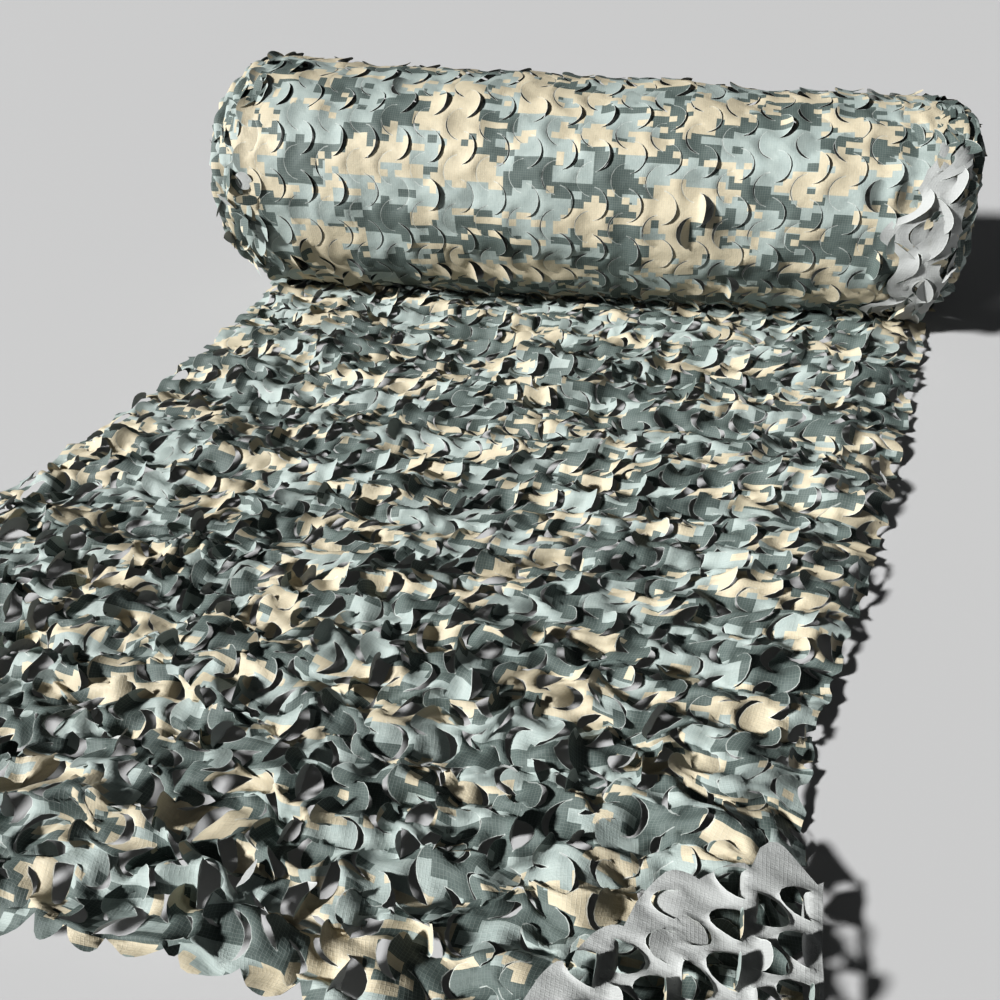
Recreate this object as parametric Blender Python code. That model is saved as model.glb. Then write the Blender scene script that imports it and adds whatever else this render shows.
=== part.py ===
"""Camouflage net, part rolled: a printed die-cut cloth, wound up, with its loose end laid out in front.

Metres. X runs along the roll, the loose end lies towards -Y, and everything rests on Z = 0.
"""

import math
import random

import bmesh
import bpy
from mathutils import Vector, noise

# The roll.
ROLL_LEFT = -0.780
ROLL_RIGHT = 0.765
RADIUS_LEFT = 0.246
RADIUS_RIGHT = 0.206
SHOULDER_LEFT = 0.125  # how far in from each end the roll starts to round off
SHOULDER_RIGHT = 0.060
ROUNDING_LEFT = 0.090  # how much smaller an end face is than the roll, in radius
ROUNDING_RIGHT = 0.055
SETTLED = 0.006  # the roll has sunk this far into its flat spot
ROLL_SIDES = 45
FLAT_SIDES = 3  # of those, in the flat spot
ROLL_STATIONS = 40
SHOULDER_STATIONS = 4
LUMP = 0.010  # unevenness of the winding
LUMPS_ALONG = 5.0  # how closely the lumps follow each other, in each metre of the roll
LUMPS_ROUND = 1.6  # and round it
LIP = 0.008  # a tongue's lip stands this far out of the roll
LIP_SIDES = 3  # from one row of tongues to the next, round the roll
END_TURNS = 4  # the main turns that show in each end face
END_RIDGE = 0.014  # how far a turn's edge stands out of the end face
END_CROWN = 0.020  # how far the middle of an end face bulges
END_HEART = 0.35  # how far out the spiral starts, of the distance between its lines

# The loose end: its left and right edges at each distance forward of the roll's centre line.
OUTLINE = (
    # forward, left, right
    (0.04, -0.745, 0.760),
    (0.25, -0.750, 0.725),
    (0.50, -0.800, 0.670),
    (0.85, -0.915, 0.590),
    (1.25, -1.035, 0.480),
    (1.70, -1.130, 0.474),
    (2.10, -1.200, 0.440),
)
END_FORWARD = 1.570  # how far forward the cloth's end lies at its left corner
END_REACH = 0.530  # how much further it reaches at its right corner, before that is turned back
END_BEND = (0.56, 0.98)  # where, from left to right, it starts and stops reaching further
RAGGED = 0.014  # unevenness of the edges
CLOTH = 0.0022  # thickness
TOUCH_GAP = 0.0003  # between the cloth and the roll at the nip
FACING_STEP = 0.004  # the slope of the cloth is read over this distance to each side

# The main folds that run across the loose end. They rise from nothing near the nip and sink to FLATTENED of
# their height under the turned corner. Each change runs from the first place of its pair to the second.
FOLDS_RISE = (0.10, 0.22)  # forward
FOLDS_SINK_FORWARD = (1.14, 1.28)
FOLDS_SINK_RIGHT = (-0.20, -0.02)
FLATTENED = 0.08
FOLD_SWAY = 0.03  # a crest wanders this far to and fro
FOLD_SWAYS = 4.5  # radians of that for each metre across
FOLD_STRENGTH = 0.62  # of the height given, on the mean
FOLD_CHANGE = 0.55  # more or less than that from place to place
FOLD_CHANGES = 2.6  # how quickly it changes across
FOLD_PHASE = 1.7  # so that no two folds wander or change alike
FOLD_APART = 7.3
FOLDS = (
    # forward at the middle, slant, height, half width
    (0.21, 0.02, 0.014, 0.045),
    (0.36, -0.04, 0.020, 0.065),
    (0.51, 0.05, 0.026, 0.050),
    (0.67, -0.03, 0.030, 0.055),
    (0.83, 0.04, 0.024, 0.050),
    (1.00, -0.05, 0.032, 0.060),
    (1.18, 0.03, 0.026, 0.055),
    (1.35, -0.02, 0.034, 0.060),
    (1.50, 0.03, 0.018, 0.045),
)

# The corner that is turned back: its fold line, from the right edge to the cloth's end.
FOLD_RIGHT = Vector((0.474, -1.700))
FOLD_LEFT = Vector((-0.070, -1.662))
FOLD_RADIUS = 0.017
BEND_STEPS = 5
SLICE_SNAP = 0.0005  # a slice uses a point that is this near rather than add one
BEND_MIDDLE = math.pi / 2 * FOLD_RADIUS
BEND_MARGIN = 0.075  # no holes this near the middle of the bend

# The die-cut pattern: leaf-shaped holes in staggered rows, each with its tongue lifted out of it.
HOLES_ACROSS = 11
HOLE_ROWS = 18
HOLE_HALF_WIDTH = 0.30  # of the distance from hole to hole
HOLE_HALF_SIDE = 0.27  # of the distance from row to row
HOLE_HALF_LENGTH = 0.42
LIFT_LEAST = 32.0  # degrees
LIFT_MOST = 64.0
LIFT_COVERED = 7.0  # under the turned corner
LIFT_TURNED = 34.0  # on it
LIFT_UNDER_ROLL = 1.0
COVERED_RIGHT_OF = -0.10  # the turned corner covers the cloth right of this
COVERED_PAST = 1.22  # and further forward than this
TONGUE_BODY = 0.52  # how far out a tongue is widest
TONGUE_REACH = 0.92
TONGUE_SWELL = 0.85  # its half width there, of its hinge's
TONGUE_LENGTH = 0.075  # about, from hinge to tip
BELLY_CLEARANCE = 0.008  # between the cloth with its tongues and the roll's underside

SEED = 11
CLOTH_COLOUR = (0.165, 0.205, 0.180, 1.0)
CLOTH_ROUGHNESS = 0.8


def clear_scene():
    for thing in list(bpy.data.objects):
        bpy.data.objects.remove(thing, do_unlink=True)


def cloth_material(name):
    """Matt synthetic cloth in the mean colour of its print."""
    material = bpy.data.materials.new(name)
    material.use_nodes = True
    shader = material.node_tree.nodes["Principled BSDF"]
    shader.inputs["Base Color"].default_value = CLOTH_COLOUR
    shader.inputs["Roughness"].default_value = CLOTH_ROUGHNESS
    shader.inputs["Metallic"].default_value = 0.0
    return material


def add_solid(name, points, faces):
    mesh = bpy.data.meshes.new(name)
    mesh.from_pydata([tuple(point) for point in points], [], faces)
    mesh.validate()
    mesh.materials.append(cloth_material(name + "_cloth"))
    solid = bpy.data.objects.new(name, mesh)
    bpy.context.scene.collection.objects.link(solid)
    return solid


# ---- the roll ----


def roll_radius(x):
    """The roll is wound a little conical."""
    share = (x - ROLL_LEFT) / (ROLL_RIGHT - ROLL_LEFT)
    return RADIUS_LEFT + (RADIUS_RIGHT - RADIUS_LEFT) * share


def roll_stations():
    """Places along the roll with the radius there, from the left end face to the right one."""
    stations = []
    for step in range(SHOULDER_STATIONS):
        turn = math.pi / 2 * step / SHOULDER_STATIONS
        x = ROLL_LEFT + SHOULDER_LEFT * (1 - math.cos(turn))
        stations.append((x, roll_radius(x) - ROUNDING_LEFT * (1 - math.sin(turn))))
    start = ROLL_LEFT + SHOULDER_LEFT
    length = ROLL_RIGHT - SHOULDER_RIGHT - start
    for step in range(ROLL_STATIONS + 1):
        x = start + length * step / ROLL_STATIONS
        stations.append((x, roll_radius(x)))
    for step in range(SHOULDER_STATIONS - 1, -1, -1):
        turn = math.pi / 2 * step / SHOULDER_STATIONS
        x = ROLL_RIGHT - SHOULDER_RIGHT * (1 - math.cos(turn))
        stations.append((x, roll_radius(x) - ROUNDING_RIGHT * (1 - math.sin(turn))))
    return stations


def side_turn(side):
    """The angle of a line along the roll: 0 in the middle of the flat spot, positive towards the loose end."""
    return 2 * math.pi * (side + 0.5) / ROLL_SIDES


def ring_point(x, radius, side, middle_height):
    """A point of the roll, not below the floor."""
    turn = side_turn(side)
    y = -radius * math.sin(turn)
    z = middle_height - radius * math.cos(turn)
    return Vector((x, y, max(z, 0.0)))


def is_belly(side):
    """The sides next to the floor are even, so that the loose end fits under them."""
    return math.cos(side_turn(side)) > math.cos(side_turn(FLAT_SIDES))


def unevenness(x, side):
    turn = side_turn(side)
    round_it = Vector((0.0, math.cos(turn), math.sin(turn))) * LUMPS_ROUND
    return LUMP * noise.noise(Vector((x * LUMPS_ALONG, 0.0, 0.0)) + round_it)


def lip_height(station, side):
    """Tongue lips in staggered rows round the roll."""
    row = side // LIP_SIDES
    on_lip = side % LIP_SIDES == 1 and (station + row) % 2 == 0
    return LIP if on_lip else 0.0


def end_face(points, faces, rim, x_rim, outward):
    """Closes one end with the spiral of the cloth's turns: each turn's edge is a ridge.

    The spiral runs from the middle out. Its points rise to a ridge and sink to a groove every second loop.
    """
    middle = sum((points[index] for index in rim), Vector()) / len(rim)
    rim_radius = sum((points[index] - middle).length for index in rim) / len(rim)
    loops = 2 * END_TURNS
    pitch = rim_radius / (loops + 1)
    first = len(points)
    count = loops * ROLL_SIDES
    for index in range(count):
        reach = pitch * (index / ROLL_SIDES + END_HEART)
        toward = points[rim[index % ROLL_SIDES]] - middle
        toward.x = 0.0
        ridge = 0.5 + 0.5 * math.cos(math.pi * index / ROLL_SIDES)
        crown = END_CROWN * (1 - (reach / rim_radius) ** 2)
        spot = middle + toward.normalized() * reach
        spot.x = x_rim + outward * (crown + END_RIDGE * ridge)
        points.append(spot)
    centre = len(points)
    points.append(Vector((x_rim + outward * END_CROWN, middle.y, middle.z)))

    patches = []
    for side in range(ROLL_SIDES):
        patches.append((centre, first + side, first + side + 1))
    patches.append((centre, first + ROLL_SIDES, first))
    for index in range(count - ROLL_SIDES - 1):
        start = first + index
        patches.append((start, start + ROLL_SIDES, start + ROLL_SIDES + 1, start + 1))
    last = first + count - 1
    outer = first + count - ROLL_SIDES
    patches.append((outer - 1, last, outer))
    patches.append((outer, last, rim[0]))
    for side in range(ROLL_SIDES - 1):
        patches.append((outer + side, rim[side], rim[side + 1], outer + side + 1))
    patches.append((last, rim[ROLL_SIDES - 1], rim[0]))
    for patch in patches:
        faces.append(patch if outward < 0 else tuple(reversed(patch)))


def make_roll():
    stations = roll_stations()
    points = []
    faces = []
    for station, (x, radius) in enumerate(stations):
        middle_height = roll_radius(x) - SETTLED
        for side in range(ROLL_SIDES):
            grown = radius
            if not is_belly(side):
                grown += unevenness(x, side)
                grown += lip_height(station, side)
            points.append(ring_point(x, grown, side, middle_height))
    for station in range(len(stations) - 1):
        here = station * ROLL_SIDES
        there = here + ROLL_SIDES
        for side in range(ROLL_SIDES):
            after = (side + 1) % ROLL_SIDES
            faces.append((here + side, there + side, there + after, here + after))
    left_rim = list(range(ROLL_SIDES))
    right_rim = [index + (len(stations) - 1) * ROLL_SIDES for index in left_rim]
    end_face(points, faces, left_rim, stations[0][0], -1)
    end_face(points, faces, right_rim, stations[-1][0], 1)
    return add_solid("roll", points, faces)


# ---- the loose end ----


def between(value, low, high):
    """0 up to the low value, 1 from the high one, and evenly between."""
    return min(max((value - low) / (high - low), 0.0), 1.0)


def edge_at(forward, column):
    """The outline's left or right edge, read smoothly between the table's rows."""
    last = len(OUTLINE) - 2
    row = 0
    while row < last and forward > OUTLINE[row + 1][0]:
        row += 1
    near, far = OUTLINE[row], OUTLINE[row + 1]
    before = OUTLINE[max(row - 1, 0)]
    beyond = OUTLINE[min(row + 2, last + 1)]
    reach = far[0] - near[0]
    share = (forward - near[0]) / reach
    leave = (far[column] - before[column]) / (far[0] - before[0])
    arrive = (beyond[column] - near[column]) / (beyond[0] - near[0])
    square, cube = share**2, share**3
    return (
        (2 * cube - 3 * square + 1) * near[column]
        + (cube - 2 * square + share) * reach * leave
        + (3 * square - 2 * cube) * far[column]
        + (cube - square) * reach * arrive
    )


def nip_forward(x):
    """How far forward of the centre line the roll's belly is just high enough for the cloth's edge."""
    radius = roll_radius(x)
    flat_turn = side_turn(FLAT_SIDES // 2)
    next_turn = side_turn(FLAT_SIDES // 2 + 1)
    flat_edge = radius * math.sin(flat_turn)
    next_edge = radius * math.sin(next_turn)
    slope = (radius * (1 - math.cos(next_turn)) - SETTLED) / (next_edge - flat_edge)
    return flat_edge + (CLOTH + TOUCH_GAP * math.hypot(1, slope)) / slope


def spread(across, along):
    """Where a place in the cloth lies with its corner not turned, on the floor.

    Both arguments run from 0 to 1, from left to right and from the nip to the cloth's end.
    """
    bend = between(across, *END_BEND)
    end = END_FORWARD + END_REACH * bend**2 * (3 - 2 * bend)
    nip = nip_forward(OUTLINE[0][1] + across * (OUTLINE[0][2] - OUTLINE[0][1]))
    forward = nip + (end - nip) * along
    left = edge_at(forward, 1)
    right = edge_at(forward, 2)
    return Vector((left + (right - left) * across, -forward))


def fold_height(x, forward):
    """The folds across the cloth, each one higher in some places than in others.

    They fade out under the roll and where the turned corner lies over them.
    """
    height = 0.0
    for number, (middle, slant, tall, half_width) in enumerate(FOLDS):
        crest = middle + slant * x + FOLD_SWAY * math.sin(FOLD_SWAYS * x + FOLD_PHASE * number)
        change = noise.noise(Vector((FOLD_CHANGES * x, FOLD_APART * number, 0.4)))
        strength = FOLD_STRENGTH + FOLD_CHANGE * change
        height += tall * strength * math.exp(-(((forward - crest) / half_width) ** 2))
    sunk = between(x, *FOLDS_SINK_RIGHT) * between(forward, *FOLDS_SINK_FORWARD)
    return height * (1 - (1 - FLATTENED) * sunk) * between(forward, *FOLDS_RISE)


def fold_outward():
    """The direction on the floor from the fold line towards the corner before it is turned."""
    line = (FOLD_RIGHT - FOLD_LEFT).normalized()
    return Vector((line.y, -line.x))


def past_fold(spot):
    return (spot - FOLD_RIGHT).dot(fold_outward())


def turn_corner(spot, height):
    """Rolls what lies past the fold line back over the cloth, round a small bend."""
    past = past_fold(spot)
    if past <= 0:
        return Vector((spot.x, spot.y, height))
    bend = min(past / FOLD_RADIUS, math.pi)
    kept = FOLD_RADIUS * math.sin(bend) - max(past - math.pi * FOLD_RADIUS, 0.0)
    moved = spot + fold_outward() * (kept - past)
    return Vector((moved.x, moved.y, height + FOLD_RADIUS * (1 - math.cos(bend))))


def lay(spot):
    """The middle of the cloth's thickness over a place on the floor."""
    return turn_corner(spot, CLOTH / 2 + fold_height(spot.x, -spot.y))


def facing(spot):
    """The direction out of the cloth's printed face."""
    aside, ahead = Vector((FACING_STEP, 0.0)), Vector((0.0, FACING_STEP))
    rightward = lay(spot + aside) - lay(spot - aside)
    backward = lay(spot + ahead) - lay(spot - ahead)
    return rightward.cross(backward).normalized()


def most_lift(spot):
    """The most that a tongue may be lifted under the roll's belly or the turned corner, in degrees."""
    place = lay(spot)
    if past_fold(spot) > 0:
        return LIFT_TURNED
    if place.x > COVERED_RIGHT_OF and -place.y > COVERED_PAST:
        return LIFT_COVERED
    radius = roll_radius(place.x)
    forward = -place.y - TONGUE_LENGTH / 2
    if forward > radius:
        return LIFT_MOST
    belly = radius - SETTLED - math.sqrt(radius**2 - forward**2)
    room = between(belly - BELLY_CLEARANCE, 0.0, TONGUE_LENGTH)
    return max(math.degrees(math.asin(room)), LIFT_UNDER_ROLL)


class Sheet:
    """The cut cloth spread on the floor, with the hinge and the lift of each point of its tongues."""

    def __init__(self):
        self.mesh = bmesh.new()
        self.lifted = {}

    def point(self, spot):
        return self.mesh.verts.new((spot.x, spot.y, 0.0))

    def patch(self, *corners):
        self.mesh.faces.new(corners)

    def tongue(self, hinge, spots, lift):
        """A leaf-shaped tongue. Its widest points lift from the hinge's ends, and its tip from the middle."""
        start, end = hinge
        root = (start.co + end.co) / 2
        wide_start, tip, wide_end = (self.point(spot) for spot in spots)
        self.patch(start, wide_start, wide_end, end)
        self.patch(wide_start, tip, wide_end)
        for point, seat in ((wide_start, start.co), (tip, root), (wide_end, end.co)):
            self.lifted[point] = (seat.xy, root.xy, lift)

    def slice_along_fold(self):
        """Adds lines of points along the bend, so that it comes out round."""
        outward = fold_outward()
        half_turn = math.pi * FOLD_RADIUS
        for step in range(BEND_STEPS + 1):
            past = half_turn * step / BEND_STEPS
            place = FOLD_RIGHT + outward * past
            everything = self.mesh.verts[:] + self.mesh.edges[:] + self.mesh.faces[:]
            bmesh.ops.bisect_plane(
                self.mesh,
                geom=everything,
                dist=SLICE_SNAP,
                plane_co=(place.x, place.y, 0.0),
                plane_no=(outward.x, outward.y, 0.0),
            )

    def middle_and_out(self, vert):
        """The middle of the cloth at a point, and the direction out of its print there."""
        spot = vert.co.xy
        if vert not in self.lifted:
            return lay(spot), facing(spot)
        seat_spot, root_spot, lift = self.lifted[vert]
        out = facing(root_spot)
        upward = out if out.z > 0 else -out
        seat = lay(seat_spot)
        reach = lay(spot) - seat
        level = reach - upward * reach.dot(upward)
        turned = level * math.cos(lift) + upward * level.length * math.sin(lift)
        square = upward * math.cos(lift) - level.normalized() * math.sin(lift)
        return seat + turned, square if out.z > 0 else -square

    def solid(self):
        """The points and faces of the cloth at its full thickness. Nothing of it lies below the floor."""
        points = []
        for number, vert in enumerate(self.mesh.verts):
            vert.index = number
            middle, out = self.middle_and_out(vert)
            front = middle + out * CLOTH / 2
            back = middle - out * CLOTH / 2
            sunk = max(-min(front.z, back.z), 0.0)
            for point in (front, back):
                point.z += sunk
                points.append(point)
        faces = []
        for face in self.mesh.faces:
            corners = [vert.index * 2 for vert in face.verts]
            faces.append(tuple(corners))
            faces.append(tuple(corner + 1 for corner in reversed(corners)))
        for edge in self.mesh.edges:
            if edge.is_boundary:
                loop = edge.link_loops[0]
                start = loop.vert.index * 2
                end = loop.link_loop_next.vert.index * 2
                faces.append((start, start + 1, end + 1, end))
        return points, faces


def cut_cell(sheet, outer, across, along, hinge_left, lift):
    """One cell of the pattern: the cloth round a hole, and the hole's tongue.

    outer holds the cell's six points, anticlockwise from its back left one. across and along give its middle.
    """
    if abs(past_fold(spread(across, along)) - BEND_MIDDLE) < BEND_MARGIN:
        back_left, front_left, front, front_right, back_right, back = outer
        sheet.patch(back_left, front_left, front, back)
        sheet.patch(back, front, front_right, back_right)
        return
    side = HOLE_HALF_WIDTH / HOLES_ACROSS
    flank = HOLE_HALF_SIDE / HOLE_ROWS
    tip = HOLE_HALF_LENGTH / HOLE_ROWS
    offsets = ((-side, -flank), (-side, flank), (0, tip), (side, flank), (side, -flank), (0, -tip))
    hole = [sheet.point(spread(across + one, along + other)) for one, other in offsets]
    for step in range(6):
        after = (step + 1) % 6
        sheet.patch(outer[step], outer[after], hole[after], hole[step])
    toward = 1 if hinge_left else -1
    body = across + toward * side * (2 * TONGUE_BODY - 1)
    reach = across + toward * side * (2 * TONGUE_REACH - 1)
    swell = toward * flank * TONGUE_SWELL
    places = ((body, along + swell), (reach, along), (body, along - swell))
    hinge = (hole[1], hole[0]) if hinge_left else (hole[4], hole[3])
    sheet.tongue(hinge, [spread(*place) for place in places], math.radians(lift))


def make_loose_end():
    draw = random.Random(SEED)
    sheet = Sheet()
    half = 2 * HOLES_ACROSS
    lines = []
    for row in range(HOLE_ROWS + 1):
        line = [spread(step / half, row / HOLE_ROWS) for step in range(half + 1)]
        if row:
            line[0].x += draw.uniform(-RAGGED, RAGGED)
            line[-1].x += draw.uniform(-RAGGED, RAGGED)
        if row == HOLE_ROWS:
            for spot in line:
                spot.y -= draw.uniform(0.0, 2 * RAGGED)
        lines.append([sheet.point(spot) for spot in line])
    for row in range(HOLE_ROWS):
        back, front = lines[row], lines[row + 1]
        shifted = row % 2
        if shifted:
            sheet.patch(back[0], front[0], front[1], back[1])
            sheet.patch(back[-2], front[-2], front[-1], back[-1])
        for start in range(shifted, half - 1, 2):
            across = (start + 1) / half
            along = (row + 0.5) / HOLE_ROWS
            outer = [back[start], *front[start : start + 3], back[start + 2], back[start + 1]]
            lift = min(draw.uniform(LIFT_LEAST, LIFT_MOST), most_lift(spread(across, along)))
            cut_cell(sheet, outer, across, along, not shifted, lift)
    sheet.slice_along_fold()
    return add_solid("loose_end", *sheet.solid())


clear_scene()
make_roll()
make_loose_end()
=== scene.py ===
import bpy
import math
import random
import numpy as np
from mathutils import Matrix, Vector, kdtree, noise
from mathutils.geometry import delaunay_2d_cdt


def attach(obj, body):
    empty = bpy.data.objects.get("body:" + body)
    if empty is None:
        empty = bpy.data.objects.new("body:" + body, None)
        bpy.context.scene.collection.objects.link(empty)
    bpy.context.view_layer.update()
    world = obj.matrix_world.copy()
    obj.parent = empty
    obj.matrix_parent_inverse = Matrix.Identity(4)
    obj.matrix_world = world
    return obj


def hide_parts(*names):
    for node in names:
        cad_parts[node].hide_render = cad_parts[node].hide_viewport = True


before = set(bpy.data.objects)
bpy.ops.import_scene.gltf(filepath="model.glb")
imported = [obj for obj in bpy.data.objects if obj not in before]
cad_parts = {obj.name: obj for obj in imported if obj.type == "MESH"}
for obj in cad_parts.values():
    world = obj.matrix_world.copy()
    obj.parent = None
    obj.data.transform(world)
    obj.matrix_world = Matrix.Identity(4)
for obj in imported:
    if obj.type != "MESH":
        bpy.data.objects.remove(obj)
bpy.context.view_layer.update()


# ---- The outer turn of the roll ----
# The last turn of the wound cloth, 1.5 m wide and once round the roll. It is a light ripstop weave, printed
# on its face in three colours and slit all over by a roller die. It lies on the turns below it with its
# tongues a little open.

CLOTH_WIDTH = 1.500
SLIT_ACROSS = 0.068  # from one slit to the next across the cloth
SLIT_ALONG = 0.092  # from one row of slits to the next along it
SLIT_CHORD = 0.064  # from end to end of a slit
SLIT_DEPTH = 0.026  # how far it bulges
SLIT_STAGGER = 0.031  # the slits between two rows lie this far aside and bulge the other way
FIRST_SLIT = 0.022  # from the left edge to the middle of the first slit
SLIT_STEPS = 10  # straight lengths in each slit
SLIT_RADIUS = ((SLIT_CHORD / 2) ** 2 + SLIT_DEPTH**2) / (2 * SLIT_DEPTH)
SLIT_HALF_TURN = math.pi / 2 + math.asin((SLIT_DEPTH - SLIT_RADIUS) / SLIT_RADIUS)
EDGE_MARGIN = 0.006  # no slit comes nearer to the edge of the cloth


class Slit:
    """One curved slit and the tongue inside it, hinged on the straight line between the slit's ends."""

    def __init__(self, across, along, toward):
        self.toward = toward  # 1 where the tongue points to the right, -1 to the left
        self.hinge = across - toward * SLIT_DEPTH / 2
        self.across = across
        self.along = along
        self.centre = self.hinge + toward * (SLIT_DEPTH - SLIT_RADIUS)
        self.opening = 0.0  # the cloth draws back from the tongue by this much
        self.lift = 0.0  # degrees at the hinge
        self.curl = 0.0  # degrees more towards the tip
        self.twist = 0.0  # degrees more at one end of the hinge and less at the other
        self.straight = 0.5  # how straight the tongue keeps, from 0 to 1, on crumpled cloth

    def line(self):
        points = []
        for step in range(SLIT_STEPS + 1):
            turn = SLIT_HALF_TURN * (2 * step / SLIT_STEPS - 1)
            right = self.centre + self.toward * SLIT_RADIUS * math.cos(turn)
            points.append((right, self.along + SLIT_RADIUS * math.sin(turn)))
        return points


def slit_rows(first_along, last_along):
    """The die's pattern over a stretch of cloth: staggered rows of slits that bulge right and left."""
    slits = []
    row = math.ceil(2 * first_along / SLIT_ALONG)
    while row * SLIT_ALONG / 2 < last_along:
        toward = 1 if row % 2 == 0 else -1
        shift = 0.0 if toward == 1 else SLIT_STAGGER
        for column in range(round(CLOTH_WIDTH / SLIT_ACROSS) + 1):
            across = FIRST_SLIT + column * SLIT_ACROSS + shift
            slits.append(Slit(across, row * SLIT_ALONG / 2, toward))
        row += 1
    return slits


GRAIN_SHAKE, GRAIN_CLEAR = 0.15, 0.55  # of the distance between the points that fill a cut


def point_tree(points):
    """Finds the nearest of some points of the flat cloth."""
    tree = kdtree.KDTree(len(points))
    for number, (across, along) in enumerate(points):
        tree.insert((across, along, 0.0), number)
    tree.balance()
    return tree


class Cut:
    """A flat cut of the cloth, split on its slits, across from its left edge and along from the nip."""

    def __init__(self, outline, slits, grain, draw):
        inside = Outline(outline)
        self.slits = [slit for slit in slits if inside.holds(slit.line())]
        points = [Vector(spot) for spot in outline]
        edges = [(spot, (spot + 1) % len(outline)) for spot in range(len(outline))]
        starts = []
        for slit in self.slits:
            starts.append(len(points))
            points.extend(Vector(spot) for spot in slit.line())
            edges.extend((starts[-1] + step, starts[-1] + step + 1) for step in range(SLIT_STEPS))
        points.extend(self.filling(points, outline, grain, draw))
        spots, _, faces, origins, _, _ = delaunay_2d_cdt(points, edges, [], 1, 1e-6)
        self.flat = np.array([(spot.x, spot.y) for spot in spots])
        self.faces = np.array([face for face in faces if len(face) == 3])
        self.tongue = np.full(len(self.flat), -1)
        self.cut_edge = np.zeros(len(self.flat))
        made_from = {origin: spot for spot, several in enumerate(origins) for origin in several}
        self.open_slits(starts, made_from)

    @staticmethod
    def filling(points, outline, grain, draw):
        """Loose points between the lines, about one grain apart."""
        taken = point_tree(points)
        low = [min(spot[axis] for spot in outline) for axis in (0, 1)]
        high = [max(spot[axis] for spot in outline) for axis in (0, 1)]
        filling = []
        row_height = grain * math.sqrt(0.75)
        for row in range(math.ceil((high[1] - low[1]) / row_height)):
            for column in range(math.ceil((high[0] - low[0]) / grain)):
                across = low[0] + (column + row % 2 / 2 + draw.uniform(-GRAIN_SHAKE, GRAIN_SHAKE)) * grain
                along = low[1] + (row + draw.uniform(-GRAIN_SHAKE, GRAIN_SHAKE)) * row_height
                spot = Vector((across, along))
                if taken.find(spot.to_3d())[2] > GRAIN_CLEAR * grain:
                    filling.append(spot)
        return filling

    def open_slits(self, starts, made_from):
        """Gives each tongue its own points along its slit, and notes which points lie on which tongue."""
        owner = np.full(len(self.flat), -1)
        self.gape = np.zeros(len(self.flat))
        for number, start in enumerate(starts):
            for step in range(SLIT_STEPS + 1):
                point = made_from[start + step]
                self.cut_edge[point] = 1.0
                if 0 < step < SLIT_STEPS:
                    owner[point] = number
                    self.gape[point] = math.sin(math.pi * step / SLIT_STEPS)
        self.owner = owner
        tree = point_tree(self.flat)
        for number, slit in enumerate(self.slits):
            for spot, point, _ in tree.find_range((slit.centre, slit.along, 0.0), SLIT_RADIUS):
                if self.cut_edge[point] == 0 and (spot.x - slit.hinge) * slit.toward > 0:
                    self.tongue[point] = number

        # The points of a slit are doubled, and the faces inside its arc take the new ones.
        split = np.flatnonzero(owner >= 0)
        twin = np.full(len(self.flat), -1)
        twin[split] = len(self.flat) + np.arange(len(split))
        centres = np.array([(slit.centre, slit.along) for slit in self.slits])
        middle = self.flat[self.faces].mean(axis=1)
        for corner in range(3):
            point = self.faces[:, corner]
            number = owner[point]
            reach = np.linalg.norm(middle - centres[number], axis=1)
            inner = (number >= 0) & (reach < SLIT_RADIUS)
            self.faces[inner, corner] = twin[point[inner]]
        self.flat = np.vstack([self.flat, self.flat[split]])
        self.tongue = np.concatenate([self.tongue, owner[split]])
        self.cut_edge = np.concatenate([self.cut_edge, np.ones(len(split))])


class Outline:
    """The edge of a cut, a closed line of points."""

    def __init__(self, points):
        self.points = points
        self.tree = point_tree(points)

    def encloses(self, spot):
        crossings = 0
        for number, (right, up) in enumerate(self.points):
            before_right, before_up = self.points[number - 1]
            if (up > spot[1]) != (before_up > spot[1]):
                share = (spot[1] - before_up) / (up - before_up)
                crossings += spot[0] < before_right + (right - before_right) * share
        return crossings % 2 == 1

    def holds(self, line):
        """Whether a line of points lies well inside."""
        ends = (line[0], line[len(line) // 2], line[-1])
        if not all(self.encloses(spot) for spot in ends):
            return False
        return all(self.tree.find((*spot, 0.0))[2] > EDGE_MARGIN for spot in line)


SIDE_STEP = 0.006
SIDE_OUT, SIDE_WAVES = 0.008, 22
NOTCH_DEPTHS, NOTCH_WIDTHS, NOTCH_SHIFT, NOTCH_FULLNESS = (0.004, 0.022), (0.014, 0.028), 0.012, 0.6
EDGE_STEP = 0.010  # between the points of a straight edge


def uneven(*place):
    """Smooth unevenness from about -1 to 1, which changes once or so in each unit of the place."""
    return noise.noise(Vector(place))


def ragged_side(length, draw):
    """Places along a side of the cloth with how far it stands out. Slits that run out of it notch it."""
    line = []
    notches = np.arange(0.5, 2 * length / SLIT_ALONG) * SLIT_ALONG
    steps = round(length / SIDE_STEP)
    depths = [draw.uniform(*NOTCH_DEPTHS) for _ in notches]
    widths = [draw.uniform(*NOTCH_WIDTHS) for _ in notches]
    shifts = [draw.uniform(-NOTCH_SHIFT, NOTCH_SHIFT) for _ in notches]
    for step in range(steps):
        gone = length * step / steps
        out = SIDE_OUT + SIDE_OUT * uneven(gone * SIDE_WAVES, length, 2.0)
        for notch, depth, width, shift in zip(notches, depths, widths, shifts):
            away = abs(gone - notch - shift) / width
            if away < 1:
                out -= depth * (1 - away**2) ** NOTCH_FULLNESS
        line.append((gone, out))
    return line


def even_line(start, end):
    """Points from the start up to the end and without it."""
    start, end = Vector(start), Vector(end)
    count = max(1, round((end - start).length / EDGE_STEP))
    return [tuple(start.lerp(end, part / count)) for part in range(count)]


FEEL = 0.004  # the surface's directions at a place are felt out by this much


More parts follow.
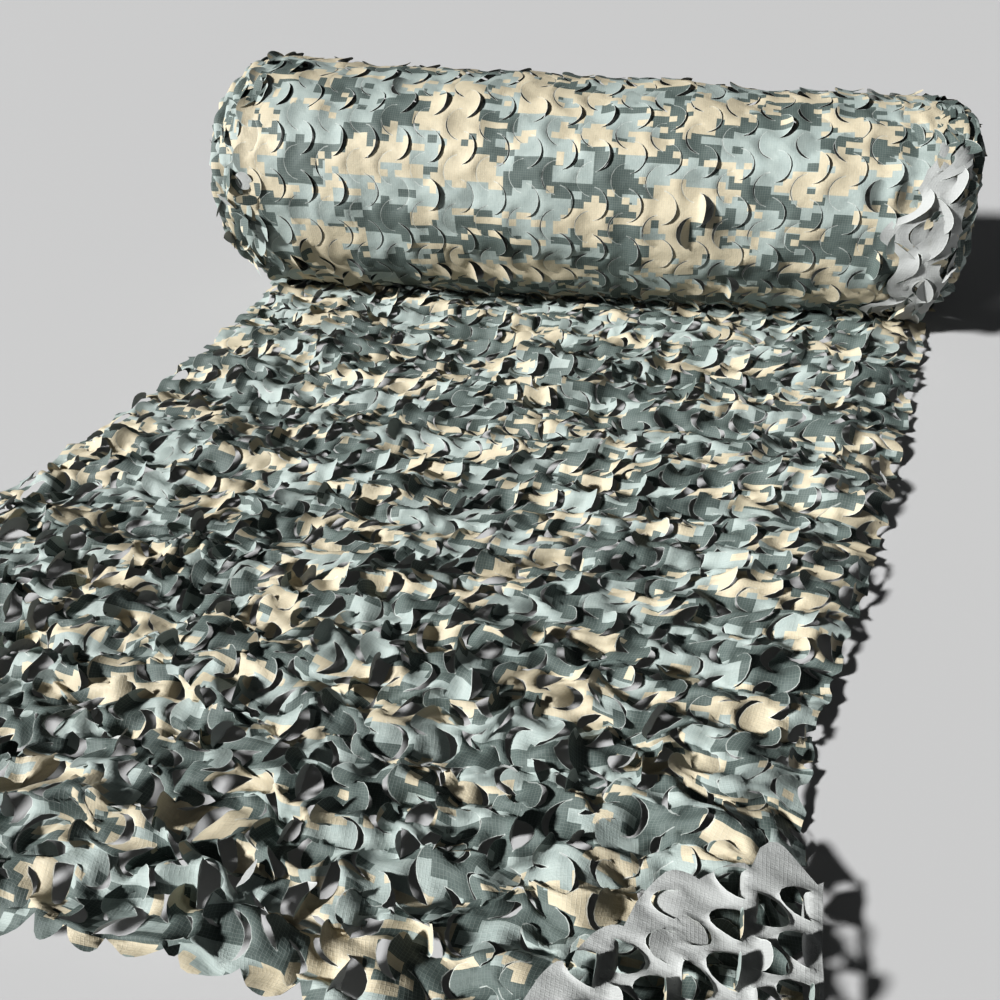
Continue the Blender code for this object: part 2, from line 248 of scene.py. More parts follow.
class Lie:
    """The surface on which a cut lies: points in space over an even grid of places in the flat cloth."""

    def __init__(self, across, along, points):
        self.across, self.along, self.points = across, along, points

    def at(self, across, along):
        """The points in space of many places."""
        columns = len(self.across) - 1
        rows = len(self.along) - 1
        column = (across - self.across[0]) / (self.across[-1] - self.across[0]) * columns
        row = (along - self.along[0]) / (self.along[-1] - self.along[0]) * rows
        left = np.clip(np.floor(column).astype(int), 0, columns - 1)
        low = np.clip(np.floor(row).astype(int), 0, rows - 1)
        right_share = (column - left)[:, None]
        up_share = (row - low)[:, None]
        lower = self.points[left, low] * (1 - right_share) + self.points[left + 1, low] * right_share
        upper = self.points[left, low + 1] * (1 - right_share)
        upper = upper + self.points[left + 1, low + 1] * right_share
        return lower * (1 - up_share) + upper * up_share

    def frame_at(self, across, along):
        """The points, and there the directions to the right, along the cloth and out of its face."""
        rightward = self.at(across + FEEL, along) - self.at(across - FEEL, along)
        onward = self.at(across, along + FEEL) - self.at(across, along - FEEL)
        rightward /= np.linalg.norm(rightward, axis=1)[:, None]
        outward = np.cross(onward, rightward)
        outward /= np.linalg.norm(outward, axis=1)[:, None]
        onward = np.cross(rightward, outward)
        return self.at(across, along), rightward, onward, outward


BEND_LENGTH = 0.007  # a tongue bends up over this distance from its hinge
BEND_PARTS = 10
SAG_REACH, SAG_FALL = 0.011, 1.5
HINGE_REACH = 0.02  # a straight tongue follows the slope of the cloth this far either side of its middle
STRAIGHT_FROM = 0.012  # and is wholly straight from this distance out


def lay_cut(cut, lie, sag, least_height):
    """Lays a cut on its surface, with its tongues lifted and the cloth round their slits sagging."""
    web = cut.tongue < 0
    slit_points = np.flatnonzero((cut.cut_edge > 0) & web)
    tree = point_tree(cut.flat[slit_points])
    found = [tree.find((*spot, 0.0)) for spot in cut.flat]
    nearest = slit_points[[number for _, number, _ in found]]
    near = np.array([distance for _, _, distance in found])
    fall = np.clip(1 - near / SAG_REACH, 0, 1) ** SAG_FALL
    owner = cut.owner[nearest]
    centres = np.array([(slit.centre, slit.along) for slit in cut.slits])
    openings = np.array([slit.opening for slit in cut.slits])
    drawn = (cut.flat[nearest] - centres[owner]) / SLIT_RADIUS
    drawn *= (openings[owner] * cut.gape[nearest] * fall * web * (owner >= 0))[:, None]
    across, along = cut.flat[:, 0], cut.flat[:, 1]
    points, _, _, outward = lie.frame_at(across + drawn[:, 0], along + drawn[:, 1])
    points[web] -= outward[web] * (sag * fall[web])[:, None]

    own = np.flatnonzero(cut.tongue >= 0)
    slits = [cut.slits[number] for number in cut.tongue[own]]
    toward = np.array([slit.toward for slit in slits])
    hinge = np.array([slit.hinge for slit in slits])
    middle = np.array([slit.along for slit in slits])
    side = (along[own] - middle) / (SLIT_CHORD / 2)
    lift = np.radians([slit.lift for slit in slits]) + np.radians([slit.twist for slit in slits]) * side
    curl = np.radians([slit.curl for slit in slits]) / SLIT_DEPTH
    out = np.clip((across[own] - hinge) * toward, 0, None)
    level = np.zeros(len(own))
    height = np.zeros(len(own))
    for part in range(BEND_PARTS):
        reached = out * (part + 0.5) / BEND_PARTS
        turn = lift * np.clip(reached / BEND_LENGTH, 0, 1) + curl * reached
        level += np.cos(turn) * out / BEND_PARTS
        height += np.sin(turn) * out / BEND_PARTS
    foot, rightward, _, outward = lie.frame_at(hinge, along[own])
    followed = foot + rightward * (toward * level)[:, None] + outward * height[:, None]
    root, rightward, _, _ = lie.frame_at(hinge, middle)
    onward = lie.at(hinge, middle + HINGE_REACH) - lie.at(hinge, middle - HINGE_REACH)
    onward /= 2 * HINGE_REACH
    drawn_up = np.linalg.norm(onward, axis=1)
    onward /= drawn_up[:, None]
    outward = np.cross(onward, rightward)
    outward /= np.linalg.norm(outward, axis=1)[:, None]
    fan = drawn_up + (1 - drawn_up) * np.clip(out / SLIT_DEPTH, 0, 1)
    straight = root + onward * ((along[own] - middle) * fan)[:, None]
    straight += rightward * (toward * level)[:, None] + outward * height[:, None]
    share = (np.array([slit.straight for slit in slits]) * np.clip(out / STRAIGHT_FROM, 0, 1))[:, None]
    points[own] = followed * (1 - share) + straight * share
    points[:, 2] = np.maximum(points[:, 2], least_height)
    return points


TURNED_OVER = 100  # degrees


def turned_over(cut):
    """Which faces lie on tongues that are folded right over."""
    over = np.array([slit.lift + slit.curl / 2 > TURNED_OVER for slit in cut.slits] + [False])
    return over[cut.tongue[cut.faces].max(axis=1)]


def cloth_piece(name, parts, materials):
    """Joins laid cuts into one piece. A part is a cut, its points, and which faces show the cloth's back."""
    points = np.zeros((0, 3))
    faces = []
    slots = []
    flat = []
    edges = []
    for cut, laid, back in parts:
        for shows_back in (False, True):
            used, corners = np.unique(cut.faces[back == shows_back], return_inverse=True)
            corners = corners.reshape(-1, 3) + len(points)
            faces.extend((corners if shows_back else corners[:, ::-1]).tolist())
            slots.extend([int(shows_back)] * len(corners))
            points = np.vstack([points, laid[used]])
            flat.append(cut.flat[used])
            edges.append(cut.cut_edge[used])
    mesh = bpy.data.meshes.new(name)
    mesh.from_pydata(points.tolist(), [], faces)
    for material in materials:
        mesh.materials.append(material)
    mesh.polygons.foreach_set("material_index", slots)
    place = np.zeros((len(points), 3))
    place[:, :2] = np.vstack(flat)
    spread = mesh.attributes.new("place_in_cloth", "FLOAT_VECTOR", "POINT")
    spread.data.foreach_set("vector", place.ravel())
    edge = mesh.attributes.new("cut_edge", "FLOAT", "POINT")
    edge.data.foreach_set("value", np.concatenate(edges))
    mesh.shade_smooth()
    piece = bpy.data.objects.new(name, mesh)
    bpy.context.scene.collection.objects.link(piece)
    return piece


PRINT_LIGHT = (0.314, 0.365, 0.348, 1.0)
PRINT_DARK = (0.088, 0.114, 0.106, 1.0)
PRINT_CREAM = (0.520, 0.460, 0.338, 1.0)
BACK_GREY = (0.380, 0.390, 0.380, 1.0)
CUT_EDGE = (0.560, 0.590, 0.560, 1.0)
RIPSTOP = 0.0045  # from one thick thread to the next
RIPSTOP_PALE, RIPSTOP_SHOWS = (0.62, 0.66, 0.62, 1.0), 0.16
BLOTCH_DARK, BLOTCH_PALE, BLOTCHES_SHOW = (0.40, 0.42, 0.42, 1.0), (0.62, 0.60, 0.58, 1.0), 0.32
EDGE_SHOWS = 0.55
COARSE_BLOCK, FINE_BLOCK = (0.020, 0.015, 1.0), (0.015, 0.013, 1.0)
FINE_SHIFT = (0.005, 0.007, 0.0)
DARK_PATCHES, CREAM_PATCHES = (6.5, 12.0, 1.0), (6.5, 13.0, 1.0)  # of them in a metre, across and along
CREAM_SHIFT = (37.0, 11.0, 5.0)
DARK_FROM, CREAM_FROM = 0.505, 0.520
# Painted shade: how far the print's thresholds move towards dark and away from cream along the laid length,
# and over what reach of the cloth.
PAINTED_SHADE_DARK_MORE, PAINTED_SHADE_CREAM_LESS = -0.022, 0.030  # towards the cloth's end
PAINTED_SHADE_ALONG = (-0.05, 0.40)  # along the cloth
DARK_NOISE, CREAM_NOISE = (1.0, 3.0, 0.62), (1.0, 3.0, 0.68)  # how often, how fine and how rough
BLOTCH_NOISE, CRINKLE_NOISE = (42.0, 4.0, 0.65), (170.0, 4.0, 0.6)
BLOTCH_EDGES, THREAD_EDGES, CUT_EDGES = (0.30, 0.70), (0.10, 0.0), (0.84, 0.92)
ROUGHNESS, SHEEN = 0.62, 0.35
THREAD_RELIEF, RELIEF_STRENGTH, RELIEF_DEPTH = 0.35, 0.5, 0.0015


class Nodes:
    """Short ways to add nodes to a material."""

    def __init__(self, material):
        material.use_nodes = True
        self.tree = material.node_tree
        self.shader = self.tree.nodes["Principled BSDF"]

    def link(self, value, socket):
        if isinstance(value, bpy.types.NodeSocket):
            self.tree.links.new(value, socket)
        else:
            socket.default_value = value

    def math(self, operation, *values):
        node = self.tree.nodes.new("ShaderNodeMath")
        node.operation = operation
        for value, socket in zip(values, node.inputs):
            self.link(value, socket)
        return node.outputs[0]

    def vector(self, operation, first, second):
        node = self.tree.nodes.new("ShaderNodeVectorMath")
        node.operation = operation
        self.link(first, node.inputs[0])
        self.link(second, node.inputs[1])
        return node.outputs[0]

    def attribute(self, name, output):
        node = self.tree.nodes.new("ShaderNodeAttribute")
        node.attribute_name = name
        return node.outputs[output]

    def split(self, vector):
        node = self.tree.nodes.new("ShaderNodeSeparateXYZ")
        self.link(vector, node.inputs[0])
        return node.outputs

    def noise(self, vector, scale, detail, roughness):
        node = self.tree.nodes.new("ShaderNodeTexNoise")
        self.link(vector, node.inputs["Vector"])
        node.inputs["Scale"].default_value = scale
        node.inputs["Detail"].default_value = detail
        node.inputs["Roughness"].default_value = roughness
        return node.outputs[0]

    def steps(self, value, low, high):
        """0 below the low value, 1 above the high one and even between."""
        node = self.tree.nodes.new("ShaderNodeMapRange")
        self.link(value, node.inputs["Value"])
        node.inputs["From Min"].default_value = low
        node.inputs["From Max"].default_value = high
        return node.outputs[0]

    def mix(self, share, first, second, blend="MIX"):
        node = self.tree.nodes.new("ShaderNodeMix")
        node.data_type = "RGBA"
        node.blend_type = blend
        self.link(share, node.inputs["Factor"])
        self.link(first, node.inputs["A"])
        self.link(second, node.inputs["B"])
        return node.outputs["Result"]


def block_print(nodes, place):
    """Ragged patches of three colours, each made of small blocks. Along the loose end the print is painted
    darker, with less cream and more dark, as painted shade.
    """
    # Painted shade: a share that runs from 0 at the nip to 1 a little way along the cloth's place moves the
    # print's thresholds towards dark and away from cream.
    laid = nodes.steps(nodes.split(place)["Y"], *PAINTED_SHADE_ALONG)
    coarse = nodes.vector("SNAP", place, COARSE_BLOCK)
    fine = nodes.vector("SNAP", nodes.vector("ADD", place, FINE_SHIFT), FINE_BLOCK)
    dark_place = nodes.vector("MULTIPLY", coarse, DARK_PATCHES)
    cream_place = nodes.vector("ADD", nodes.vector("MULTIPLY", fine, CREAM_PATCHES), CREAM_SHIFT)
    dark_print_and_shade_from = nodes.math("MULTIPLY_ADD", laid, PAINTED_SHADE_DARK_MORE, DARK_FROM)
    cream_print_and_shade_from = nodes.math("MULTIPLY_ADD", laid, PAINTED_SHADE_CREAM_LESS, CREAM_FROM)
    dark = nodes.math("GREATER_THAN", nodes.noise(dark_place, *DARK_NOISE), dark_print_and_shade_from)
    cream = nodes.math("GREATER_THAN", nodes.noise(cream_place, *CREAM_NOISE), cream_print_and_shade_from)
    ground = nodes.mix(dark, PRINT_LIGHT, PRINT_DARK)
    return nodes.mix(cream, ground, PRINT_CREAM)


def weave_cloth(name, back_first):
    """The woven cloth. Its printed face is in front, or its plain back where back_first is set."""
    material = bpy.data.materials.new(name)
    nodes = Nodes(material)
    place = nodes.attribute("place_in_cloth", "Vector")
    face = block_print(nodes, place)
    blotches = nodes.steps(nodes.noise(place, *BLOTCH_NOISE), *BLOTCH_EDGES)
    face = nodes.mix(BLOTCHES_SHOW, face, nodes.mix(blotches, BLOTCH_DARK, BLOTCH_PALE), "OVERLAY")

    lines = []
    for way in nodes.split(place)[:2]:
        turns = nodes.math("FRACT", nodes.math("DIVIDE", way, RIPSTOP))
        from_thread = nodes.math("ABSOLUTE", nodes.math("SUBTRACT", turns, 0.5))
        lines.append(nodes.steps(from_thread, *THREAD_EDGES))
    ripstop = nodes.math("MAXIMUM", *lines)
    face = nodes.mix(nodes.math("MULTIPLY", ripstop, RIPSTOP_SHOWS), face, RIPSTOP_PALE)

    side = nodes.tree.nodes.new("ShaderNodeNewGeometry")
    shows_back = side.outputs["Backfacing"]
    if back_first:
        shows_back = nodes.math("SUBTRACT", 1.0, shows_back)
    colour = nodes.mix(shows_back, face, BACK_GREY)
    edge = nodes.steps(nodes.attribute("cut_edge", "Fac"), *CUT_EDGES)
    colour = nodes.mix(nodes.math("MULTIPLY", edge, EDGE_SHOWS), colour, CUT_EDGE)
    nodes.link(colour, nodes.shader.inputs["Base Color"])
    nodes.shader.inputs["Roughness"].default_value = ROUGHNESS
    nodes.shader.inputs["Specular IOR Level"].default_value = SHEEN

    crinkle = nodes.noise(place, *CRINKLE_NOISE)
    relief = nodes.math("ADD", nodes.math("MULTIPLY", ripstop, THREAD_RELIEF), crinkle)
    bump = nodes.tree.nodes.new("ShaderNodeBump")
    bump.inputs["Strength"].default_value = RELIEF_STRENGTH
    bump.inputs["Distance"].default_value = RELIEF_DEPTH
    nodes.link(relief, bump.inputs["Height"])
    nodes.link(bump.outputs[0], nodes.shader.inputs["Normal"])
    return material


printed_side = weave_cloth("ripstop_printed_side", False)
plain_side = weave_cloth("ripstop_plain_side", True)


ROLL_LEFT, ROLL_RIGHT = -0.780, 0.765
RADIUS_LEFT, RADIUS_RIGHT = 0.246, 0.206
SHOULDER_LEFT, SHOULDER_RIGHT = 0.125, 0.060
ROUNDING_LEFT, ROUNDING_RIGHT = 0.090, 0.055
PROFILE_STEPS = 24
SETTLED = 0.006  # the roll has sunk into its own flat spot by this much
LUMP, LUMPS_ALONG, LUMPS_ROUND, LUMP_FADE = 0.010, 5.0, 1.6, 1.2
OFF_GROUND = 0.0012
WOUND_RADIUS = (RADIUS_LEFT + RADIUS_RIGHT) / 2
NIP_TURN = math.radians(16)  # where the outer turn leaves the roll, from the middle of its flat spot
TURN_LENGTH = 2 * math.pi * WOUND_RADIUS
SIDE_GATHER = 0.042  # the sides of the outer turn are crumpled in by this much
GATHER_ACROSS, GATHER_ALONG = 0.14, 0.20  # over these reaches, from the side and from the nip
LIE_MARGIN = 0.02  # the surface is known this far past the cloth
ROLL_COLUMNS, ROLL_ROWS = 220, 240
TURN_RISE = 0.002  # of the outer turn over those below it
RUMPLE, RUMPLES, FINE_RUMPLE, FINE_RUMPLES = 0.0060, 12, 0.0040, 32


def roll_radius(x):
    share = (x - ROLL_LEFT) / (ROLL_RIGHT - ROLL_LEFT)
    return RADIUS_LEFT + (RADIUS_RIGHT - RADIUS_LEFT) * share


def between(value, low, high):
    return min(max((value - low) / (high - low), 0.0), 1.0)


def end_form(outward):
    """The place of one end of the roll, the reach of its shoulder and how far it rounds in."""
    if outward < 0:
        return ROLL_LEFT, SHOULDER_LEFT, ROUNDING_LEFT
    return ROLL_RIGHT, SHOULDER_RIGHT, ROUNDING_RIGHT


def roll_profile():
    """Places from the left end to the right one, with the radius there and the way gone along the cloth."""
    line = []
    for outward, steps in ((-1, range(PROFILE_STEPS + 1)), (1, range(PROFILE_STEPS, -1, -1))):
        end_x, shoulder, rounding = end_form(outward)
        for step in steps:
            turn = math.pi / 2 * step / PROFILE_STEPS
            x = end_x - outward * shoulder * (1 - math.cos(turn))
            line.append((x, roll_radius(x) - rounding * (1 - math.sin(turn))))
    line = np.array(line)
    gone = np.concatenate([[0], np.cumsum(np.linalg.norm(np.diff(line, axis=0), axis=1))])
    return line[:, 0], line[:, 1], gone


def roll_point(x, radius, turn):
    """A point of the roll. Its angle grows from the flat spot's middle towards the laid cloth."""
    lump = uneven(x * LUMPS_ALONG, math.cos(turn) * LUMPS_ROUND, math.sin(turn) * LUMPS_ROUND)
    radius = radius + LUMP * lump * between(LUMP_FADE - math.cos(turn), 0.0, 1.0)
    z = roll_radius(x) - SETTLED - radius * math.cos(turn)
    return (x, -radius * math.sin(turn), max(z, OFF_GROUND))


def roll_lie():
    """The outer surface of the roll, with the small unevenness of one slit cloth on another."""
    profile_x, profile_radius, gone = roll_profile()
    margin = (gone[-1] - CLOTH_WIDTH) / 2
    across = np.linspace(-LIE_MARGIN, CLOTH_WIDTH + LIE_MARGIN, ROLL_COLUMNS)
    along = np.linspace(-TURN_LENGTH - LIE_MARGIN, LIE_MARGIN, ROLL_ROWS)
    points = np.zeros((len(across), len(along), 3))
    for column, place in enumerate(across):
        at_left = max(0.0, 1 - place / GATHER_ACROSS)
        at_right = max(0.0, 1 - (CLOTH_WIDTH - place) / GATHER_ACROSS)
        drawn = SIDE_GATHER * (at_left - at_right)
        for row, way in enumerate(along):
            spot = place + margin + drawn * between(-way, 0.0, GATHER_ALONG)
            x = float(np.interp(spot, gone, profile_x))
            radius = float(np.interp(spot, gone, profile_radius)) + TURN_RISE
            turn = NIP_TURN - way / WOUND_RADIUS
            rumple = RUMPLE * uneven(place * RUMPLES, way * RUMPLES, 3.0)
            rumple += FINE_RUMPLE * uneven(place * FINE_RUMPLES, way * FINE_RUMPLES, 8.0)
            points[column, row] = roll_point(x, radius + rumple, turn)
    return Lie(across, along, points)


# Where the tongues of the outer turn are loose, and the range of what they do, in degrees and metres
LOOSE_SIDE, LOW_FRONT, LOW_LOOSE = 0.12, math.radians(80), 0.9
TIGHT_LIFTS, LOOSE_LIFTS, SIDE_LIFT = (0, 8), (5, 60), 0.45
TIGHT_CURLS, LOOSE_CURLS, SIDE_CURL = (0, 20), (0, 40), 1.4
TWISTS, OPENINGS = (-6, 6), (0.0, 0.0022)
STAND_SHARE, STAND_LOOSE, STAND_LIFTS, STAND_OPENING = 0.07, 0.25, (15, 70), 0.002
SHUT_SHARE, SHUT_LIFTS = 0.25, (0, 4)
TOP_TURNS, TOP_LIFT = (math.radians(150), math.radians(250)), 26.0
AT_NIP, NIP_LIFT = math.radians(22), 4.0


def lift_roll_tongues(slits, draw):
    """Most tongues lie nearly shut. They open more at the ends and low in front, and a few stand up."""
    for slit in slits:
        turn = NIP_TURN - slit.along / WOUND_RADIUS
        from_end = min(slit.across, CLOTH_WIDTH - slit.across)
        at_side = max(0.0, 1 - from_end / LOOSE_SIDE)
        loose = min(1.0, at_side + LOW_LOOSE * max(0.0, 1 - turn / LOW_FRONT))
        slit.lift = draw.uniform(*TIGHT_LIFTS)
        slit.lift += loose * draw.uniform(*LOOSE_LIFTS) * (1 - SIDE_LIFT * at_side)
        slit.curl = draw.uniform(*TIGHT_CURLS)
        slit.curl += loose * draw.uniform(*LOOSE_CURLS) * (1 - SIDE_CURL * at_side)
        slit.twist = draw.uniform(*TWISTS) * (1 + 2 * loose)
        slit.opening = draw.uniform(*OPENINGS)
        if draw.random() < STAND_SHARE + STAND_LOOSE * loose:
            slit.lift += draw.uniform(*STAND_LIFTS)
            slit.opening += STAND_OPENING
        if draw.random() < SHUT_SHARE:
            slit.lift, slit.curl, slit.opening = draw.uniform(*SHUT_LIFTS), 0.0, 0.0
        if TOP_TURNS[0] < turn < TOP_TURNS[1]:
            slit.lift = min(slit.lift, TOP_LIFT)
        if turn < AT_NIP:
            slit.lift, slit.curl = NIP_LIFT, 0.0


OUTER_GRAIN = 0.0085
ROLL_SAG, ROLL_LEAST_HEIGHT = 0.002, 0.0010
draw = random.Random(5)
turn_outline = even_line((0, -TURN_LENGTH), (CLOTH_WIDTH, -TURN_LENGTH))
turn_outline += [(CLOTH_WIDTH + out, gone - TURN_LENGTH) for gone, out in ragged_side(TURN_LENGTH, draw)]
turn_outline += even_line((CLOTH_WIDTH, 0), (0, 0))
turn_outline += [(-out, -gone) for gone, out in ragged_side(TURN_LENGTH, draw)]
outer_cut = Cut(turn_outline, slit_rows(-TURN_LENGTH, 0), OUTER_GRAIN, draw)
lift_roll_tongues(outer_cut.slits, draw)
outer_points = lay_cut(outer_cut, roll_lie(), ROLL_SAG, ROLL_LEAST_HEIGHT)
outer_turn = cloth_piece(
    "outer_turn",
    [(outer_cut, outer_points, turned_over(outer_cut))],
    (printed_side, plain_side),
)
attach(outer_turn, "root")
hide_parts("roll")


# ---- The ends of the roll ----
# The edges of the turns inside, wound in a spiral from the outer turn to the middle. The die cuts through
# the edge of the cloth too, so each edge is ragged, and leaves of it stand out at the shoulders.

TURN_SPACING = 0.0088
SPIRAL_DEEP = 0.030  # the spiral starts this far inside the roll's surface
SPIRAL_LAYERS = {-1: 20.0, 1: 40.0}
SPIRAL_LOBE, SPIRAL_LOBE_LENGTH, SPIRAL_LOBE_SHIFT = 0.011, 0.050, 3
SPIRAL_WAVE, SPIRAL_RUMPLE = 0.006, 0.002
SHIFTS, WAVES, LEANS, RUMPLES_ALONG, RUMPLES_ACROSS = 16, 7, 11, 30, 60  # in a metre
LEAN, LEAN_REACH, LEAN_WIDTH = 0.55, 1.6, 0.024
STRIP_ROWS = (0.0, 0.010, 0.024, 0.042)  # from the edge of the cloth inwards
STRIP_STEP = 0.007
HEART_RADIUS = 0.014  # the spiral stops here
SMALL_RADIUS, SMALL_TURN = 0.05, 0.14  # inside this radius each step turns by so much
END_CROWN = 0.020


class Patch:
    """A piece of cloth as a net of points, with its place in the flat cloth."""

    def __init__(self, rows, columns, flat, cut_edge):
        self.flat = flat
        self.cut_edge = cut_edge
        faces = []
        for row in range(rows - 1):
            for column in range(columns - 1):
                corner = row * columns + column
                faces.append((corner, corner + 1, corner + columns + 1))
                faces.append((corner, corner + columns + 1, corner + columns))
        self.faces = np.array(faces)


def end_surface(radius, outward):
    """Where the end of the roll lies at a distance from its axis."""
    rim_x, shoulder, rounding = end_form(outward)
    rim = roll_radius(rim_x) - rounding
    if radius <= rim:
        return rim_x + outward * END_CROWN * (1 - (radius / rim) ** 2)
    rise = min((radius - rim) / rounding, 1.0)
    return rim_x - outward * shoulder * (1 - math.sqrt(1 - rise**2))


def wound_edges(outward):
    """The spiral of cloth edges in one end of the roll."""
    radius = roll_radius(end_form(outward)[0]) - SPIRAL_DEEP
    turn = 0.0
    gone = 0.0
    points = []
    flat = []
    layer = SPIRAL_LAYERS[outward]
    strip_rows = STRIP_ROWS[::outward]
    while radius > HEART_RADIUS:
        shift = SPIRAL_LOBE_SHIFT * uneven(gone * SHIFTS, layer, 0.0)
        lobes = SPIRAL_LOBE * abs(math.sin(math.pi * gone / SPIRAL_LOBE_LENGTH + shift))
        wave = SPIRAL_WAVE * uneven(gone * WAVES, layer, 5.0)
        lean = LEAN * uneven(gone * LEANS, layer, 9.0)
        for inward in strip_rows:
            out = max(0.0, 1 - inward / LEAN_WIDTH)
            x = end_surface(radius, outward) + outward * (lobes * out + wave - inward)
            wide = radius + lean * TURN_SPACING * LEAN_REACH * out**2
            wide += SPIRAL_RUMPLE * uneven(gone * RUMPLES_ALONG, layer, inward * RUMPLES_ACROSS)
            points.append(roll_point(x, wide, turn))
            flat.append((inward, gone))
        step = STRIP_STEP / radius if radius > SMALL_RADIUS else SMALL_TURN
        turn += step
        gone += step * radius
        radius -= TURN_SPACING * step / (2 * math.pi)
    columns = len(strip_rows)
    rows = len(points) // columns
    cut_edge = np.tile([float(inward == 0) for inward in strip_rows], rows)
    return Patch(rows, columns, np.array(flat), cut_edge), np.array(points)


EDGE_TURNS = 6
EDGE_TURN_STEP = 0.020
EDGE_TURN_WIDTH = 0.105
EDGE_GRAIN = 0.0095
FOLD_GAP = 0.007  # between a folded edge and the cloth under it
FOLD_LEAST = 0.010  # an edge folded by less than this only leans
FOLDED_TURNS = (0, 2, 3)
FOLD_TURN = math.radians(82)  # the middle of the folded part, on the roll's front
FOLD_EDGES, FOLD_UNEVEN = (0.30, 0.75), 0.8
FOLD_WAVES, FLARE_WAVES, SWING_WAVES = 2.2, 4.0, 3.0
LEAN_OUT, LEAN_IN = 0.75, 0.5  # by these shares an edge that only leans stands out and dips to the axis
EDGE_OUT, EDGE_SUNK = (0.004, 0.014), 0.002
EDGE_BEFORE, EDGE_BEHIND, EDGE_ENDS = 0.05, 0.02, 0.03  # the surface is known this far past the strip
EDGE_COLUMNS, EDGE_ROWS = 70, 260
FLARE, FLARE_CHANGE, FLARE_REACH = 0.006, 0.014, 0.022
SWING, EDGE_RUMPLE, EDGE_RUMPLES = 0.012, 0.006, (30, 26)
FOLD_RISE, EACH_RISE = 0.010, 0.002
FOLDED_IN, FREE_IN, NO_FOLD = 0.006, 0.02, 0.005
UNDER_LIFTS, UNDER_CURLS = (2, 35), (0, 15)
EDGE_LIFTS, EDGE_CURLS, EDGE_TWISTS, EDGE_OPENING = (2, 34), (-25, 15), (-15, 15), 0.002
EDGE_TOP, EDGE_TOP_LIFT = 0.75, 12.0  # on top of the roll the tongues stay low


def edge_turn(outward, number, fold_back, draw):
    """One of the turns that peep out at the shoulder: the outer 105 mm of the cloth, with its edge flared.

    On the front of the roll some of these edges are folded back by fold_back, plain side out.
    """
    profile_x, profile_radius, gone = roll_profile()
    spot = (gone[-1] - CLOTH_WIDTH) / 2 + SIDE_GATHER - EDGE_TURN_STEP * (number - 0.5)
    spot = gone[-1] - spot if outward > 0 else spot
    edge_x = float(np.interp(spot, gone, profile_x)) + outward * draw.uniform(*EDGE_OUT)
    radius = float(np.interp(spot, gone, profile_radius)) - EDGE_SUNK
    length = 2 * math.pi * radius
    layer = 7.0 * number + 50 * outward

    strip = [(-out, way) for way, out in ragged_side(length, draw)]
    corners = ((0, length), (EDGE_TURN_WIDTH, length), (EDGE_TURN_WIDTH, 0), (0, 0))
    for start, end in zip(corners, corners[1:]):
        strip += even_line(start, end)
    from_edge = np.linspace(-EDGE_BEFORE, EDGE_TURN_WIDTH + EDGE_BEHIND, EDGE_COLUMNS)
    across = from_edge
    if outward > 0:
        strip = [(CLOTH_WIDTH - inward, way) for inward, way in strip]
        across = CLOTH_WIDTH - from_edge[::-1]
        from_edge = from_edge[::-1]
    else:
        strip.reverse()
    cut = Cut(strip, slit_rows(0, length), EDGE_GRAIN, draw)

    along = np.linspace(-EDGE_ENDS, length + EDGE_ENDS, EDGE_ROWS)
    points = np.zeros((len(across), len(along), 3))
    folds = np.zeros(len(along))
    for row, way in enumerate(along):
        turn = -way / radius
        ring = Vector((math.cos(turn), math.sin(turn), layer))
        folded_here = between(math.cos(turn - FOLD_TURN), *FOLD_EDGES) * (number in FOLDED_TURNS)
        folds[row] = fold_back * max(folded_here * (FOLD_UNEVEN + noise.noise(ring * FOLD_WAVES)), 0.0)
        flare = FLARE_CHANGE * noise.noise(ring * FLARE_WAVES + Vector((0, 0, 3.0))) + FLARE
        swing = SWING * noise.noise(ring * SWING_WAVES + Vector((0, 0, 9.0)))
        back_over = between(folds[row], 0.0, FOLD_LEAST)
        for column, inward in enumerate(from_edge):
            beyond = max(folds[row] - inward, 0.0)
            kept = max(inward - folds[row], 0.0)
            x = edge_x + outward * (swing - kept + beyond * (LEAN_OUT - (1 + LEAN_OUT) * back_over))
            wide = radius + flare * math.exp(-max(inward, 0.0) / FLARE_REACH)
            wide -= LEAN_IN * beyond * (1 - back_over)
            if beyond * back_over > 0:
                under = float(np.interp(x, profile_x, profile_radius))
                raised = min(beyond / FOLD_RISE, 1.0) * back_over
                over = radius + max(under - radius, 0.0) + FOLD_GAP + EACH_RISE * number
                wide += (over - wide) * raised
            wide += EDGE_RUMPLE * uneven(inward * EDGE_RUMPLES[0], way * EDGE_RUMPLES[1], layer)
            points[column, row] = roll_point(x, wide, turn)
    folds_here = np.interp(cut.flat[:, 1], along, folds)
    inside = np.interp(cut.flat[:, 0], across, from_edge)
    cut.folded = np.where(folds_here > FOLD_LEAST, folds_here - inside, -1.0)
    for slit in cut.slits:
        inward = float(np.interp(slit.across, across, from_edge))
        fold = float(np.interp(slit.along, along, folds))
        if inward < fold - FOLDED_IN:
            slit.lift, slit.curl = -draw.uniform(*UNDER_LIFTS), -draw.uniform(*UNDER_CURLS)
        elif inward > fold + FREE_IN or fold < NO_FOLD:
            slit.lift, slit.curl = draw.uniform(*EDGE_LIFTS), draw.uniform(*EDGE_CURLS)
        slit.twist = draw.uniform(*EDGE_TWISTS)
        slit.opening = EDGE_OPENING
        if math.cos(slit.along / radius) < -EDGE_TOP:
            slit.lift = min(slit.lift, EDGE_TOP_LIFT)
    return cut, Lie(across, along, points)


